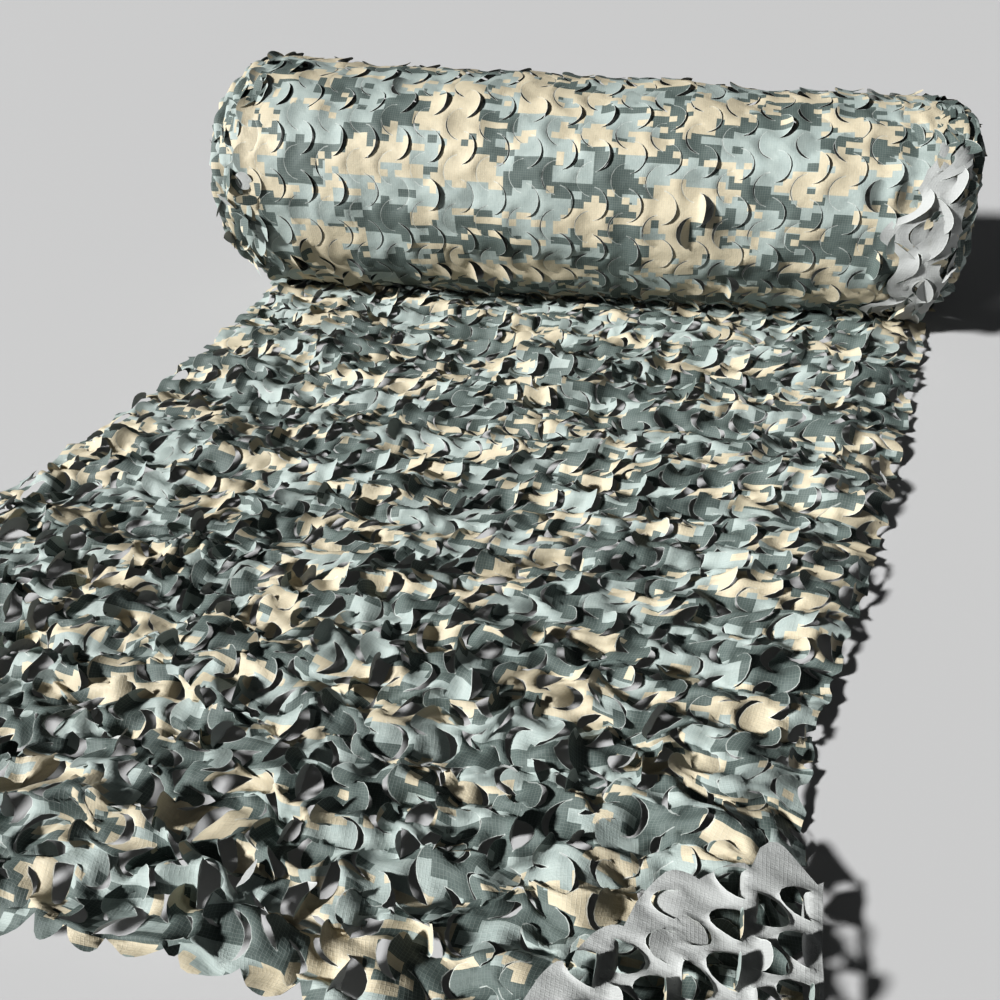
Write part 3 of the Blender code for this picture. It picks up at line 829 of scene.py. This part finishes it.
LEAF_ROWS, LEAF_COLUMNS = 9, 5
LEAF_ROOT, LEAF_FULLNESS, LEAF_CURL_FROM = 0.14, 0.75, 0.2
LEAF_LENGTHS, LEAF_WIDTHS = (0.030, 0.056), (0.018, 0.036)
LEAF_CURLS, LEAF_CUPS = (-0.6, 0.4), (-0.3, 0.3)
LEAF_BENDS, LEAF_TILTS, LEAF_SWINGS = (-6, 88), (0.05, 0.60), (-2.4, 2.4)
LEAF_PLACES = (1.4, 40.0)  # across and along the cloth, where its print is taken from
LEAF_SUNK = 0.006  # the root of a leaf lies this far inside the shoulder
LEAF_LEAST_HEIGHT = 0.0011
TOP_TILT, TOP_ENDS = 0.3, (-1.0, -0.6)  # on top of the roll the leaves stand up by this share only


def leaf(root, outward, aside, draw):
    """A leaf-shaped tongue of the cloth, from its root outward. It curls along itself and cups across."""
    length = draw.uniform(*LEAF_LENGTHS)
    width = draw.uniform(*LEAF_WIDTHS)
    curl = draw.uniform(*LEAF_CURLS)
    cup = draw.uniform(*LEAF_CUPS)
    normal = outward.cross(aside).normalized()
    points = []
    flat = []
    cut_edge = []
    corner = Vector([draw.uniform(0, reach) for reach in LEAF_PLACES])
    place = root.copy()
    for row in range(LEAF_ROWS):
        share = row / (LEAF_ROWS - 1)
        turn = curl * (share - LEAF_CURL_FROM)
        spine = outward * math.cos(turn) + normal * math.sin(turn)
        shape = LEAF_ROOT + (1 - LEAF_ROOT) * share
        half = width / 2 * (1 - (2 * shape - 1) ** 2) ** LEAF_FULLNESS
        for column in range(LEAF_COLUMNS):
            across = 2 * column / (LEAF_COLUMNS - 1) - 1
            lift = spine.cross(aside) * (cup * half * across**2)
            points.append(tuple(place + aside * (half * across) + lift))
            flat.append((corner.x + half * across, corner.y + share * length))
            cut_edge.append(1.0 if column in (0, LEAF_COLUMNS - 1) or row == LEAF_ROWS - 1 else 0.0)
        place += spine * (length / (LEAF_ROWS - 1))
    return Patch(LEAF_ROWS, LEAF_COLUMNS, np.array(flat), np.array(cut_edge)), np.array(points)


def shoulder_leaves(outward, count, grey_share, draw):
    """Leaves of the turns' edges, which lie over one another round one end, some of them plain side out."""
    parts = []
    rim_x, shoulder, rounding = end_form(outward)
    rim = roll_radius(rim_x) - rounding
    for number in range(count):
        turn = 2 * math.pi * (number + draw.uniform(-0.5, 0.5)) / count
        bend = math.radians(draw.uniform(*LEAF_BENDS))
        x = rim_x - outward * (shoulder * (1 - math.cos(bend)) + LEAF_SUNK)
        root = Vector(roll_point(x, rim + rounding * math.sin(bend), turn))
        axial = Vector((outward, 0, 0))
        radial = Vector((0, -math.sin(turn), -math.cos(turn)))
        around = Vector((0, -math.cos(turn), math.sin(turn)))
        normal = axial * math.cos(bend) + radial * math.sin(bend)
        down = axial * math.sin(bend) - radial * math.cos(bend)
        below_top = between(math.cos(turn), *TOP_ENDS)
        tilt = draw.uniform(*LEAF_TILTS) * (TOP_TILT + (1 - TOP_TILT) * below_top)
        swing = draw.uniform(*LEAF_SWINGS)
        lying = down * math.cos(swing) + around * math.sin(swing)
        away = lying * math.cos(tilt) + normal * math.sin(tilt)
        shows_back = draw.random() < grey_share
        aside = normal.cross(lying).normalized() * (-1 if shows_back else 1)
        patch, points = leaf(root, away, aside, draw)
        if points[:, 2].min() > LEAF_LEAST_HEIGHT:
            parts.append((patch, points, np.full(len(patch.faces), shows_back)))
    return parts


ROLL_ENDS = (
    # side, outward, how far edges are folded back, leaves, share of them that is plain side out
    ("left", -1, 0.0, 180, 0.05),
    ("right", 1, 0.060, 150, 0.12),
)
for side, outward, fold_back, leaves, grey_share in ROLL_ENDS:
    draw = random.Random(21 + outward)
    spiral, spiral_points = wound_edges(outward)
    parts = [(spiral, spiral_points, np.zeros(len(spiral.faces), bool))]
    for number in range(EDGE_TURNS):
        edge_cut, edge_lie = edge_turn(outward, number, fold_back, draw)
        edge_points = lay_cut(edge_cut, edge_lie, ROLL_SAG, ROLL_LEAST_HEIGHT)
        folded = edge_cut.folded[edge_cut.faces].mean(axis=1) > 0
        parts.append((edge_cut, edge_points, folded ^ turned_over(edge_cut)))
    parts += shoulder_leaves(outward, leaves, grey_share, draw)
    edges = cloth_piece("turn_edges_" + side, parts, (printed_side, plain_side))
    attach(edges, "root")
    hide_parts("roll")


# ---- The loose end ----
# The same cloth where it has come off the roll and lies forward over the ground. It is let go in small
# folds across itself, its tongues stand and hang, and its right corner is turned back, plain side up.

OUTLINE = (
    # forward, left, right
    (0.04, -0.745, 0.760),
    (0.25, -0.750, 0.725),
    (0.50, -0.800, 0.670),
    (0.85, -0.915, 0.590),
    (1.25, -1.035, 0.480),
    (1.70, -1.130, 0.474),
    (2.10, -1.200, 0.440),
)
NIP_FORWARD = 0.060
END_FORWARD, END_REACH, END_BEND = 1.615, 0.485, (0.65, 0.98)
FOLDS_RISE = (0.10, 0.22)
FOLDS_SINK_FORWARD, FOLDS_SINK_RIGHT, FLATTENED = (1.14, 1.28), (-0.20, -0.02), 0.08
FOLD_SWAY, FOLD_SWAYS, FOLD_PHASE = 0.03, 4.5, 1.7
FOLD_STRENGTH, FOLD_CHANGE, FOLD_CHANGES, FOLD_APART = 0.62, 0.55, 2.6, 7.3
FOLDS = (
    # forward at the middle, slant, height, half width
    (0.21, 0.02, 0.014, 0.045),
    (0.36, -0.04, 0.020, 0.065),
    (0.51, 0.05, 0.026, 0.050),
    (0.67, -0.03, 0.030, 0.055),
    (0.83, 0.04, 0.024, 0.050),
    (1.00, -0.05, 0.032, 0.060),
    (1.18, 0.03, 0.026, 0.055),
    (1.35, -0.02, 0.034, 0.060),
    (1.50, 0.03, 0.018, 0.045),
)
FOLD_RIGHT = Vector((0.474, -1.700))
FOLD_LEFT = Vector((-0.070, -1.662))
FOLD_RADIUS = 0.017
SEAT = 0.018  # the cloth lies this far off the ground, on its hanging tongues
CRUMPLE, LOOSE_CRUMPLE = 0.42, 0.33  # small crumples take up these shares more of the cloth's length
CRUMPLE_STARTS, LOOSE_CRUMPLE_STARTS = (0.06, 0.16), (0.80, 1.15)
CRUMPLE_SHIFT = Vector((0.018, 0.028, 0.020))
CRUMPLES_ACROSS, CRUMPLES_ALONG = 13, 15
CREASE_CELLS, CREASE_RISE, CREASE_LEVEL = 17.0, 0.028, 0.25
CRUMPLE_SEED = 8


def edge_at(forward, column):
    last = len(OUTLINE) - 2
    row = 0
    while row < last and forward > OUTLINE[row + 1][0]:
        row += 1
    near, far = OUTLINE[row], OUTLINE[row + 1]
    before, beyond = OUTLINE[max(row - 1, 0)], OUTLINE[min(row + 2, last + 1)]
    reach = far[0] - near[0]
    share = (forward - near[0]) / reach
    leave = (far[column] - before[column]) / (far[0] - before[0])
    arrive = (beyond[column] - near[column]) / (beyond[0] - near[0])
    square, cube = share**2, share**3
    return (
        (2 * cube - 3 * square + 1) * near[column]
        + (cube - 2 * square + share) * reach * leave
        + (3 * square - 2 * cube) * far[column]
        + (cube - square) * reach * arrive
    )


def spread(across, along):
    """Where a place in the cloth lies on the ground. Its shares run from 0 to 1 from the left and the nip."""
    bend = between(across, *END_BEND)
    end = END_FORWARD + END_REACH * bend**2 * (3 - 2 * bend)
    forward = NIP_FORWARD + (end - NIP_FORWARD) * along
    left, right = edge_at(forward, 1), edge_at(forward, 2)
    return Vector((left + (right - left) * across, -forward))


def fold_height(x, forward):
    """The main folds across the cloth."""
    height = 0.0
    for number, (middle, slant, tall, half_width) in enumerate(FOLDS):
        crest = middle + slant * x + FOLD_SWAY * math.sin(FOLD_SWAYS * x + FOLD_PHASE * number)
        change = uneven(FOLD_CHANGES * x, FOLD_APART * number, 0.4)
        strength = FOLD_STRENGTH + FOLD_CHANGE * change
        height += tall * strength * math.exp(-(((forward - crest) / half_width) ** 2))
    sunk = between(x, *FOLDS_SINK_RIGHT) * between(forward, *FOLDS_SINK_FORWARD)
    return height * (1 - (1 - FLATTENED) * sunk) * between(forward, *FOLDS_RISE)


LOOSE_FORWARD, LOOSE_RIGHT, RIGHT_LATER = (0.72, 1.12), (-0.45, 0.25), 0.22


def looseness(x, forward):
    """0 where the cloth lies in even gathers, behind, and 1 where it is thrown about, in front."""
    return between(forward - RIGHT_LATER * between(x, *LOOSE_RIGHT), *LOOSE_FORWARD)


# Crest, depth, waves in a metre across and along, and layer of the small folds
PLEATS = (0.5, 1.9, 3.5, 24.0, 2.2)
WIDE_GATHERS = (0.8, 1.7, 2.2, 9.0, 1.3)
NARROW_GATHERS = (0.7, 1.7, 5.0, 20.0, 6.1)
PLEAT_HEIGHT, LOOSE_PLEATS, GATHER_HEIGHT, GATHERS_START = 0.020, 0.012, 0.016, (0.08, 0.22)
LAID_RUMPLE, LAID_RUMPLES = 0.008, (24.0, 28.0)
LEFT_LIFT, LIFT_FORWARD, LIFT_LEFT = 0.018, (0.70, 1.20), (-0.05, 0.40)  # the left lies higher in front
FLAP_PRESS, FLAP_REACH, FLAP_RIGHT = 0.7, (-0.42, -0.30), (-0.05, 0.12)  # the turned corner presses


def ridges(x, forward, crest, depth, across, along, layer):
    """Sharp crests with rounded hollows between them."""
    return crest - depth * abs(uneven(across * x, along * forward, layer))


def gathers(x, forward):
    """The small folds between the main ones."""
    wide, narrow = ridges(x, forward, *WIDE_GATHERS), ridges(x, forward, *NARROW_GATHERS)
    rumple = LAID_RUMPLE * uneven(LAID_RUMPLES[0] * x, LAID_RUMPLES[1] * forward, 9.4)
    under_flap = between(past_fold(Vector((x, -forward))), *FLAP_REACH) * between(x, *FLAP_RIGHT)
    strength = between(forward, *GATHERS_START) * (1 - FLAP_PRESS * under_flap)
    lifted = LEFT_LIFT * between(forward, *LIFT_FORWARD) * between(-x, *LIFT_LEFT)
    pleats = (PLEAT_HEIGHT - LOOSE_PLEATS * looseness(x, forward)) * ridges(x, forward, *PLEATS)
    return lifted + strength * (GATHER_HEIGHT * wide + GATHER_HEIGHT * narrow + rumple + pleats)


def crumple(forward):
    """The length of cloth that lies in each length of the surface: less at the nip and most in front."""
    small = CRUMPLE * between(forward, *CRUMPLE_STARTS)
    return 1 + small + LOOSE_CRUMPLE * between(forward, *LOOSE_CRUMPLE_STARTS)


def fold_outward():
    line = (FOLD_RIGHT - FOLD_LEFT).normalized()
    return Vector((line.y, -line.x))


def past_fold(spot):
    return (spot - FOLD_RIGHT).dot(fold_outward())


def turn_corner(spot, height):
    """Rolls what lies past the fold line back over the cloth, round a small bend."""
    past = past_fold(spot)
    if past <= 0:
        return Vector((spot.x, spot.y, height))
    bend = min(past / FOLD_RADIUS, math.pi)
    kept = FOLD_RADIUS * math.sin(bend) - max(past - math.pi * FOLD_RADIUS, 0.0)
    moved = spot + fold_outward() * (kept - past)
    return Vector((moved.x, moved.y, height + FOLD_RADIUS * (1 - math.cos(bend))))


LAID_COLUMNS, LAID_ROWS = 251, 480
SPREAD_ROWS, SPREAD_END = 560, 1.05  # the form is worked out to a little past the end of the cloth
LEAST_RISE, LEAST_LAID = 0.006, 0.004
SIDE_REACH, SIDE_HEIGHT = 0.05, 0.35  # the folds run low into the sides
LENGTH_STEPS, LENGTH_END = 800, 2.4  # where the length that the folds take up is measured
MIDDLE_LINES = np.linspace(-0.35, 0.15, 9)
CRUMPLED_FROM, FLAP_SMOOTH_FROM, FLAP_SMOOTH, GATHERED_CRUMPLE = (0.10, 0.35), (-0.06, -0.02), 0.85, 0.40


def lay_loose_end():
    """The surface of the loose end, how far each place is past the fold line, and where the cloth ends."""
    columns = np.linspace(0, 1, LAID_COLUMNS)
    shares = np.linspace(0, SPREAD_END, SPREAD_ROWS)
    spots = [[spread(across, along) for along in shares] for across in columns]
    heights = np.array([[
        max(SEAT + fold_height(spot.x, -spot.y) + gathers(spot.x, -spot.y), LEAST_RISE) for spot in line
    ] for line in spots])
    near_side = np.clip(np.minimum(columns, 1 - columns) / SIDE_REACH, 0, 1)
    heights = LEAST_RISE + (heights - LEAST_RISE) * (SIDE_HEIGHT + (1 - SIDE_HEIGHT) * near_side)[:, None]
    ground = np.array([[(spot.x, spot.y) for spot in line] for line in spots])
    forward = np.linspace(NIP_FORWARD, LENGTH_END, LENGTH_STEPS)
    rises = np.array([[fold_height(x, way) + gathers(x, way) for way in forward] for x in MIDDLE_LINES])
    slopes = np.gradient(rises, forward, axis=1)
    taken = np.sqrt(1 + slopes**2).mean(axis=0) * [crumple(way) for way in forward]
    gone_forward = np.concatenate([[0], np.cumsum((taken[1:] + taken[:-1]) / 2 * np.diff(forward))])
    gone = np.interp(-ground[:, :, 1], forward, gone_forward)
    ends = np.array([np.interp(1.0, shares, line) for line in gone])
    along = np.linspace(0, gone[:, -1].max(), LAID_ROWS)
    points = np.zeros((len(columns), len(along), 3))
    past = np.zeros((len(columns), len(along), 1))
    noise.seed_set(CRUMPLE_SEED)
    for column, across in enumerate(columns * CLOTH_WIDTH):
        x = np.interp(along, gone[column], ground[column, :, 0])
        y = np.interp(along, gone[column], ground[column, :, 1])
        z = np.interp(along, gone[column], heights[column])
        for row, way in enumerate(along):
            spot = Vector((x[row], y[row]))
            past[column, row, 0] = past_fold(spot)
            crumpled = between(-y[row], *CRUMPLED_FROM)
            crumpled *= 1 - FLAP_SMOOTH * between(past_fold(spot), *FLAP_SMOOTH_FROM)
            crumpled *= GATHERED_CRUMPLE + (1 - GATHERED_CRUMPLE) * looseness(spot.x, -spot.y)
            shift = noise.noise_vector(Vector((across * CRUMPLES_ACROSS, way * CRUMPLES_ALONG, 4.4)))
            shift *= crumpled
            spot.x += CRUMPLE_SHIFT.x * shift.x
            spot.y += CRUMPLE_SHIFT.y * shift.y
            cells = noise.voronoi(Vector((across * CREASE_CELLS, way * CREASE_CELLS, 7.7)))[0]
            rise = CRUMPLE_SHIFT.z * shift.z + CREASE_RISE * (CREASE_LEVEL + cells[0] - cells[1]) * crumpled
            points[column, row] = turn_corner(spot, max(z[row] + rise, LEAST_LAID))
    across = columns * CLOTH_WIDTH
    return Lie(across, along, points), Lie(across, along, past), ends


# What the tongues do, in degrees and metres, on the turned corner, under it and on the rest of the cloth
CORNER_FROM, CORNER_LIFTS, CORNER_CURLS = -0.02, (-12, 12), (-8, 8)
CORNER_OPEN_FROM, CORNER_OPEN_SHARE, CORNER_OPEN_LIFTS, CORNER_OPENING = 0.04, 0.80, (60, 105), 0.008
CORNER_SIDES = (-1, -0.8, 1)
COVERED, COVERED_LIFTS = 0.03, (-20, 5)
LAID_CURLS, LAID_TWISTS, LAID_OPENING, LAID_OPENINGS = (-30, 40), (-35, 35), 0.003, (0.4, 1.4)
STRAIGHT, STRAIGHT_LOOSE = 0.20, 0.65
UP_SHARE, UP_LOOSE, UP_LIFTS, UP_LOOSE_LIFTS = 0.75, 0.25, (10, 52), (0, 40)
HIGH_SHARE, HIGH_LIFT = 0.10, 50
DOWN_LIFTS, ROOM_STARTS = (10, 45), (0.06, 0.20)


def lift_laid_tongues(slits, lie, past, draw):
    """On the ground the tongues stand up, lie over or hang through their holes, more so in front."""
    flap = point_tree(lie.points[past.points[:, :, 0] > 0][:, :2])
    for slit in slits:
        here = (np.array([slit.across]), np.array([slit.along]))
        place = lie.at(*here)[0]
        beyond = past.at(*here)[0, 0]
        forward = -place[1]
        if beyond > CORNER_FROM:
            slit.lift, slit.curl = draw.uniform(*CORNER_LIFTS), draw.uniform(*CORNER_CURLS)
            if beyond > CORNER_OPEN_FROM and draw.random() < CORNER_OPEN_SHARE:
                slit.lift = draw.choice(CORNER_SIDES) * draw.uniform(*CORNER_OPEN_LIFTS)
                slit.opening = CORNER_OPENING
            continue
        if flap.find((place[0], place[1], 0.0))[2] < COVERED:
            slit.lift, slit.curl = draw.uniform(*COVERED_LIFTS), 0.0
            continue
        loose = looseness(place[0], forward)
        room = between(forward, *ROOM_STARTS)
        slit.curl = draw.uniform(*LAID_CURLS) * (0.5 + 0.5 * loose)
        slit.twist = draw.uniform(*LAID_TWISTS) * (0.5 + 0.5 * loose)
        slit.opening = LAID_OPENING * draw.uniform(*LAID_OPENINGS)
        slit.straight = STRAIGHT + STRAIGHT_LOOSE * loose
        if draw.random() < UP_SHARE - UP_LOOSE * loose:
            slit.lift = draw.uniform(*UP_LIFTS) + loose * draw.uniform(*UP_LOOSE_LIFTS)
            if draw.random() < HIGH_SHARE * loose:
                slit.lift += HIGH_LIFT
        else:
            slit.lift = -draw.uniform(*DOWN_LIFTS)
        slit.lift *= room
        slit.curl *= room
        slit.twist *= room


LOBE_STEPS = 8
LOBE_WIDTHS, LEAST_LOBE = (0.030, 0.085), 0.03
LOBE_DEPTHS, LOBE_SKEWS, LOBE_FULLNESS = (0.15, 1.0), (0.6, 1.7), 0.7
END_LOBES = 0.060  # the deepest lobes of the cut end
END_BACK, END_BACK_RIGHT = 0.5, 0.3  # of them: the end is cut back by so much, and more on the right
LAID_GRAIN, LAID_SAG, LAID_LEAST_HEIGHT = 0.0096, 0.004, 0.0008
PLAIN_SIDE, SIDE_STANDS_OUT = (0.50, 0.60), 0.006  # the right side is straight this near the cloth's end


def ragged_line(length, deep, draw):
    """Places along a cut end with the height of its lobes, which are tongues that the cut ran through."""
    line = []
    gone = 0.0
    while gone < length:
        width = draw.uniform(*LOBE_WIDTHS)
        if length - gone - width < LEAST_LOBE:
            width = length - gone
        depth = draw.uniform(*LOBE_DEPTHS) * deep
        skew = draw.uniform(*LOBE_SKEWS)
        for step in range(LOBE_STEPS):
            share = step / LOBE_STEPS
            line.append((gone + width * share, depth * math.sin(math.pi * share**skew) ** LOBE_FULLNESS))
        gone += width
    return line


draw = random.Random(8)
loose_lie, past_lie, loose_ends = lay_loose_end()
left_length, right_length = loose_ends[0] - END_LOBES / 2, loose_ends[-1] - END_LOBES / 2
loose_outline = [(-out, left_length - gone) for gone, out in ragged_side(left_length, draw)]
loose_outline += even_line((0, 0), (CLOTH_WIDTH, 0))
for gone, out in ragged_side(right_length, draw):
    kept = between(right_length - gone, *PLAIN_SIDE)
    loose_outline.append((CLOTH_WIDTH + SIDE_STANDS_OUT * (1 - kept) + out * kept, gone))
for gone, deep in ragged_line(CLOTH_WIDTH, END_LOBES, draw):
    share = 1 - gone / CLOTH_WIDTH
    end = float(np.interp(share, np.linspace(0, 1, len(loose_ends)), loose_ends))
    loose_outline.append((CLOTH_WIDTH * share, end - END_LOBES * (END_BACK + END_BACK_RIGHT * share) + deep))
loose_cut = Cut(loose_outline, slit_rows(0.0, loose_lie.along[-1]), LAID_GRAIN, draw)
lift_laid_tongues(loose_cut.slits, loose_lie, past_lie, draw)
loose_points = lay_cut(loose_cut, loose_lie, LAID_SAG, LAID_LEAST_HEIGHT)
loose_past = past_lie.at(*loose_cut.flat[loose_cut.faces].mean(axis=1).T)[:, 0]
loose_back = (loose_past > math.pi / 2 * FOLD_RADIUS) ^ turned_over(loose_cut)
loose_end = cloth_piece(
    "loose_end_cloth",
    [(loose_cut, loose_points, loose_back)],
    (printed_side, plain_side),
)
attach(loose_end, "root")
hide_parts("loose_end")


# ---- The floor, the light and the camera ----
# The net lies on a plain pale floor, under one sun lamp from the left and in front, and a weak sky that is
# brighter near the horizon. The camera stands close in front, to the right, and looks down on the net.

FLOOR_REACH, FLOOR_GREY, FLOOR_ROUGHNESS = 40, (0.46, 0.46, 0.46, 1), 0.9
floor_corners = [(x * FLOOR_REACH, y * FLOOR_REACH, 0) for x, y in ((-1, -1), (1, -1), (1, 1), (-1, 1))]
floor_mesh = bpy.data.meshes.new("floor")
floor_mesh.from_pydata(floor_corners, [], [(0, 1, 2, 3)])
floor = bpy.data.objects.new("floor", floor_mesh)
floor_paint = bpy.data.materials.new("pale_floor")
floor_shader = Nodes(floor_paint).shader
floor_shader.inputs["Base Color"].default_value = FLOOR_GREY
floor_shader.inputs["Roughness"].default_value = FLOOR_ROUGHNESS
floor_mesh.materials.append(floor_paint)
bpy.context.scene.collection.objects.link(floor)

SKY_COLOUR = (0.94, 0.97, 1.0, 1)
SKY_FADE = {"From Min": 0.08, "From Max": 0.35, "To Min": 0.40, "To Max": 0.04}  # heights, then strengths
world = bpy.data.worlds.new("studio")
world.use_nodes = True
sky = world.node_tree.nodes
sky_place = sky.new("ShaderNodeTexCoord")
sky_height = sky.new("ShaderNodeSeparateXYZ")
sky_fade = sky.new("ShaderNodeMapRange")
for name, value in SKY_FADE.items():
    sky_fade.inputs[name].default_value = value
world.node_tree.links.new(sky_place.outputs["Generated"], sky_height.inputs[0])
world.node_tree.links.new(sky_height.outputs["Z"], sky_fade.inputs["Value"])
world.node_tree.links.new(sky_fade.outputs[0], sky["Background"].inputs["Strength"])
sky["Background"].inputs["Color"].default_value = SKY_COLOUR
bpy.context.scene.world = world

LAMP_PLACE, LAMP_AIM = Vector((-4.05, -3.0, 3.25)), Vector((0.0, -0.7, 0.1))
LAMP_SPREAD, LAMP_POWER = math.radians(7), 5.95
key_light = bpy.data.lights.new("key_lamp", "SUN")
key_light.angle = LAMP_SPREAD
key_light.energy = LAMP_POWER
key_lamp = bpy.data.objects.new("key_lamp", key_light)
key_lamp.location = LAMP_PLACE
key_lamp.rotation_euler = (LAMP_AIM - LAMP_PLACE).to_track_quat("-Z", "Y").to_euler()
bpy.context.scene.collection.objects.link(key_lamp)
bpy.context.scene.view_settings.view_transform = "Standard"
bpy.context.scene.view_settings.look = "Medium High Contrast"

CAMERA_PLACE = (0.29, -1.84, 1.08)
CAMERA_YAW, CAMERA_PITCH, CAMERA_ROLL = math.radians(-16.4), math.radians(44.1), math.radians(-5.4)
SENSOR = 36.0
FOCAL_PIXELS, FRAME_PIXELS = 866, 1000
NEAR_CLIP = 0.05
ahead = Vector((
    math.sin(CAMERA_YAW) * math.cos(CAMERA_PITCH),
    math.cos(CAMERA_YAW) * math.cos(CAMERA_PITCH),
    -math.sin(CAMERA_PITCH),
))
level = Vector((math.cos(CAMERA_YAW), -math.sin(CAMERA_YAW), 0))
upright = level.cross(ahead)
right = level * math.cos(CAMERA_ROLL) + upright * math.sin(CAMERA_ROLL)
top = upright * math.cos(CAMERA_ROLL) - level * math.sin(CAMERA_ROLL)
lens = bpy.data.cameras.new("camera")
lens.sensor_width = SENSOR
lens.lens = SENSOR * FOCAL_PIXELS / FRAME_PIXELS
lens.clip_start = NEAR_CLIP
camera = bpy.data.objects.new("camera", lens)
camera.matrix_world = Matrix.Translation(CAMERA_PLACE) @ Matrix((right, top, -ahead)).transposed().to_4x4()
bpy.context.scene.collection.objects.link(camera)
bpy.context.scene.camera = camera
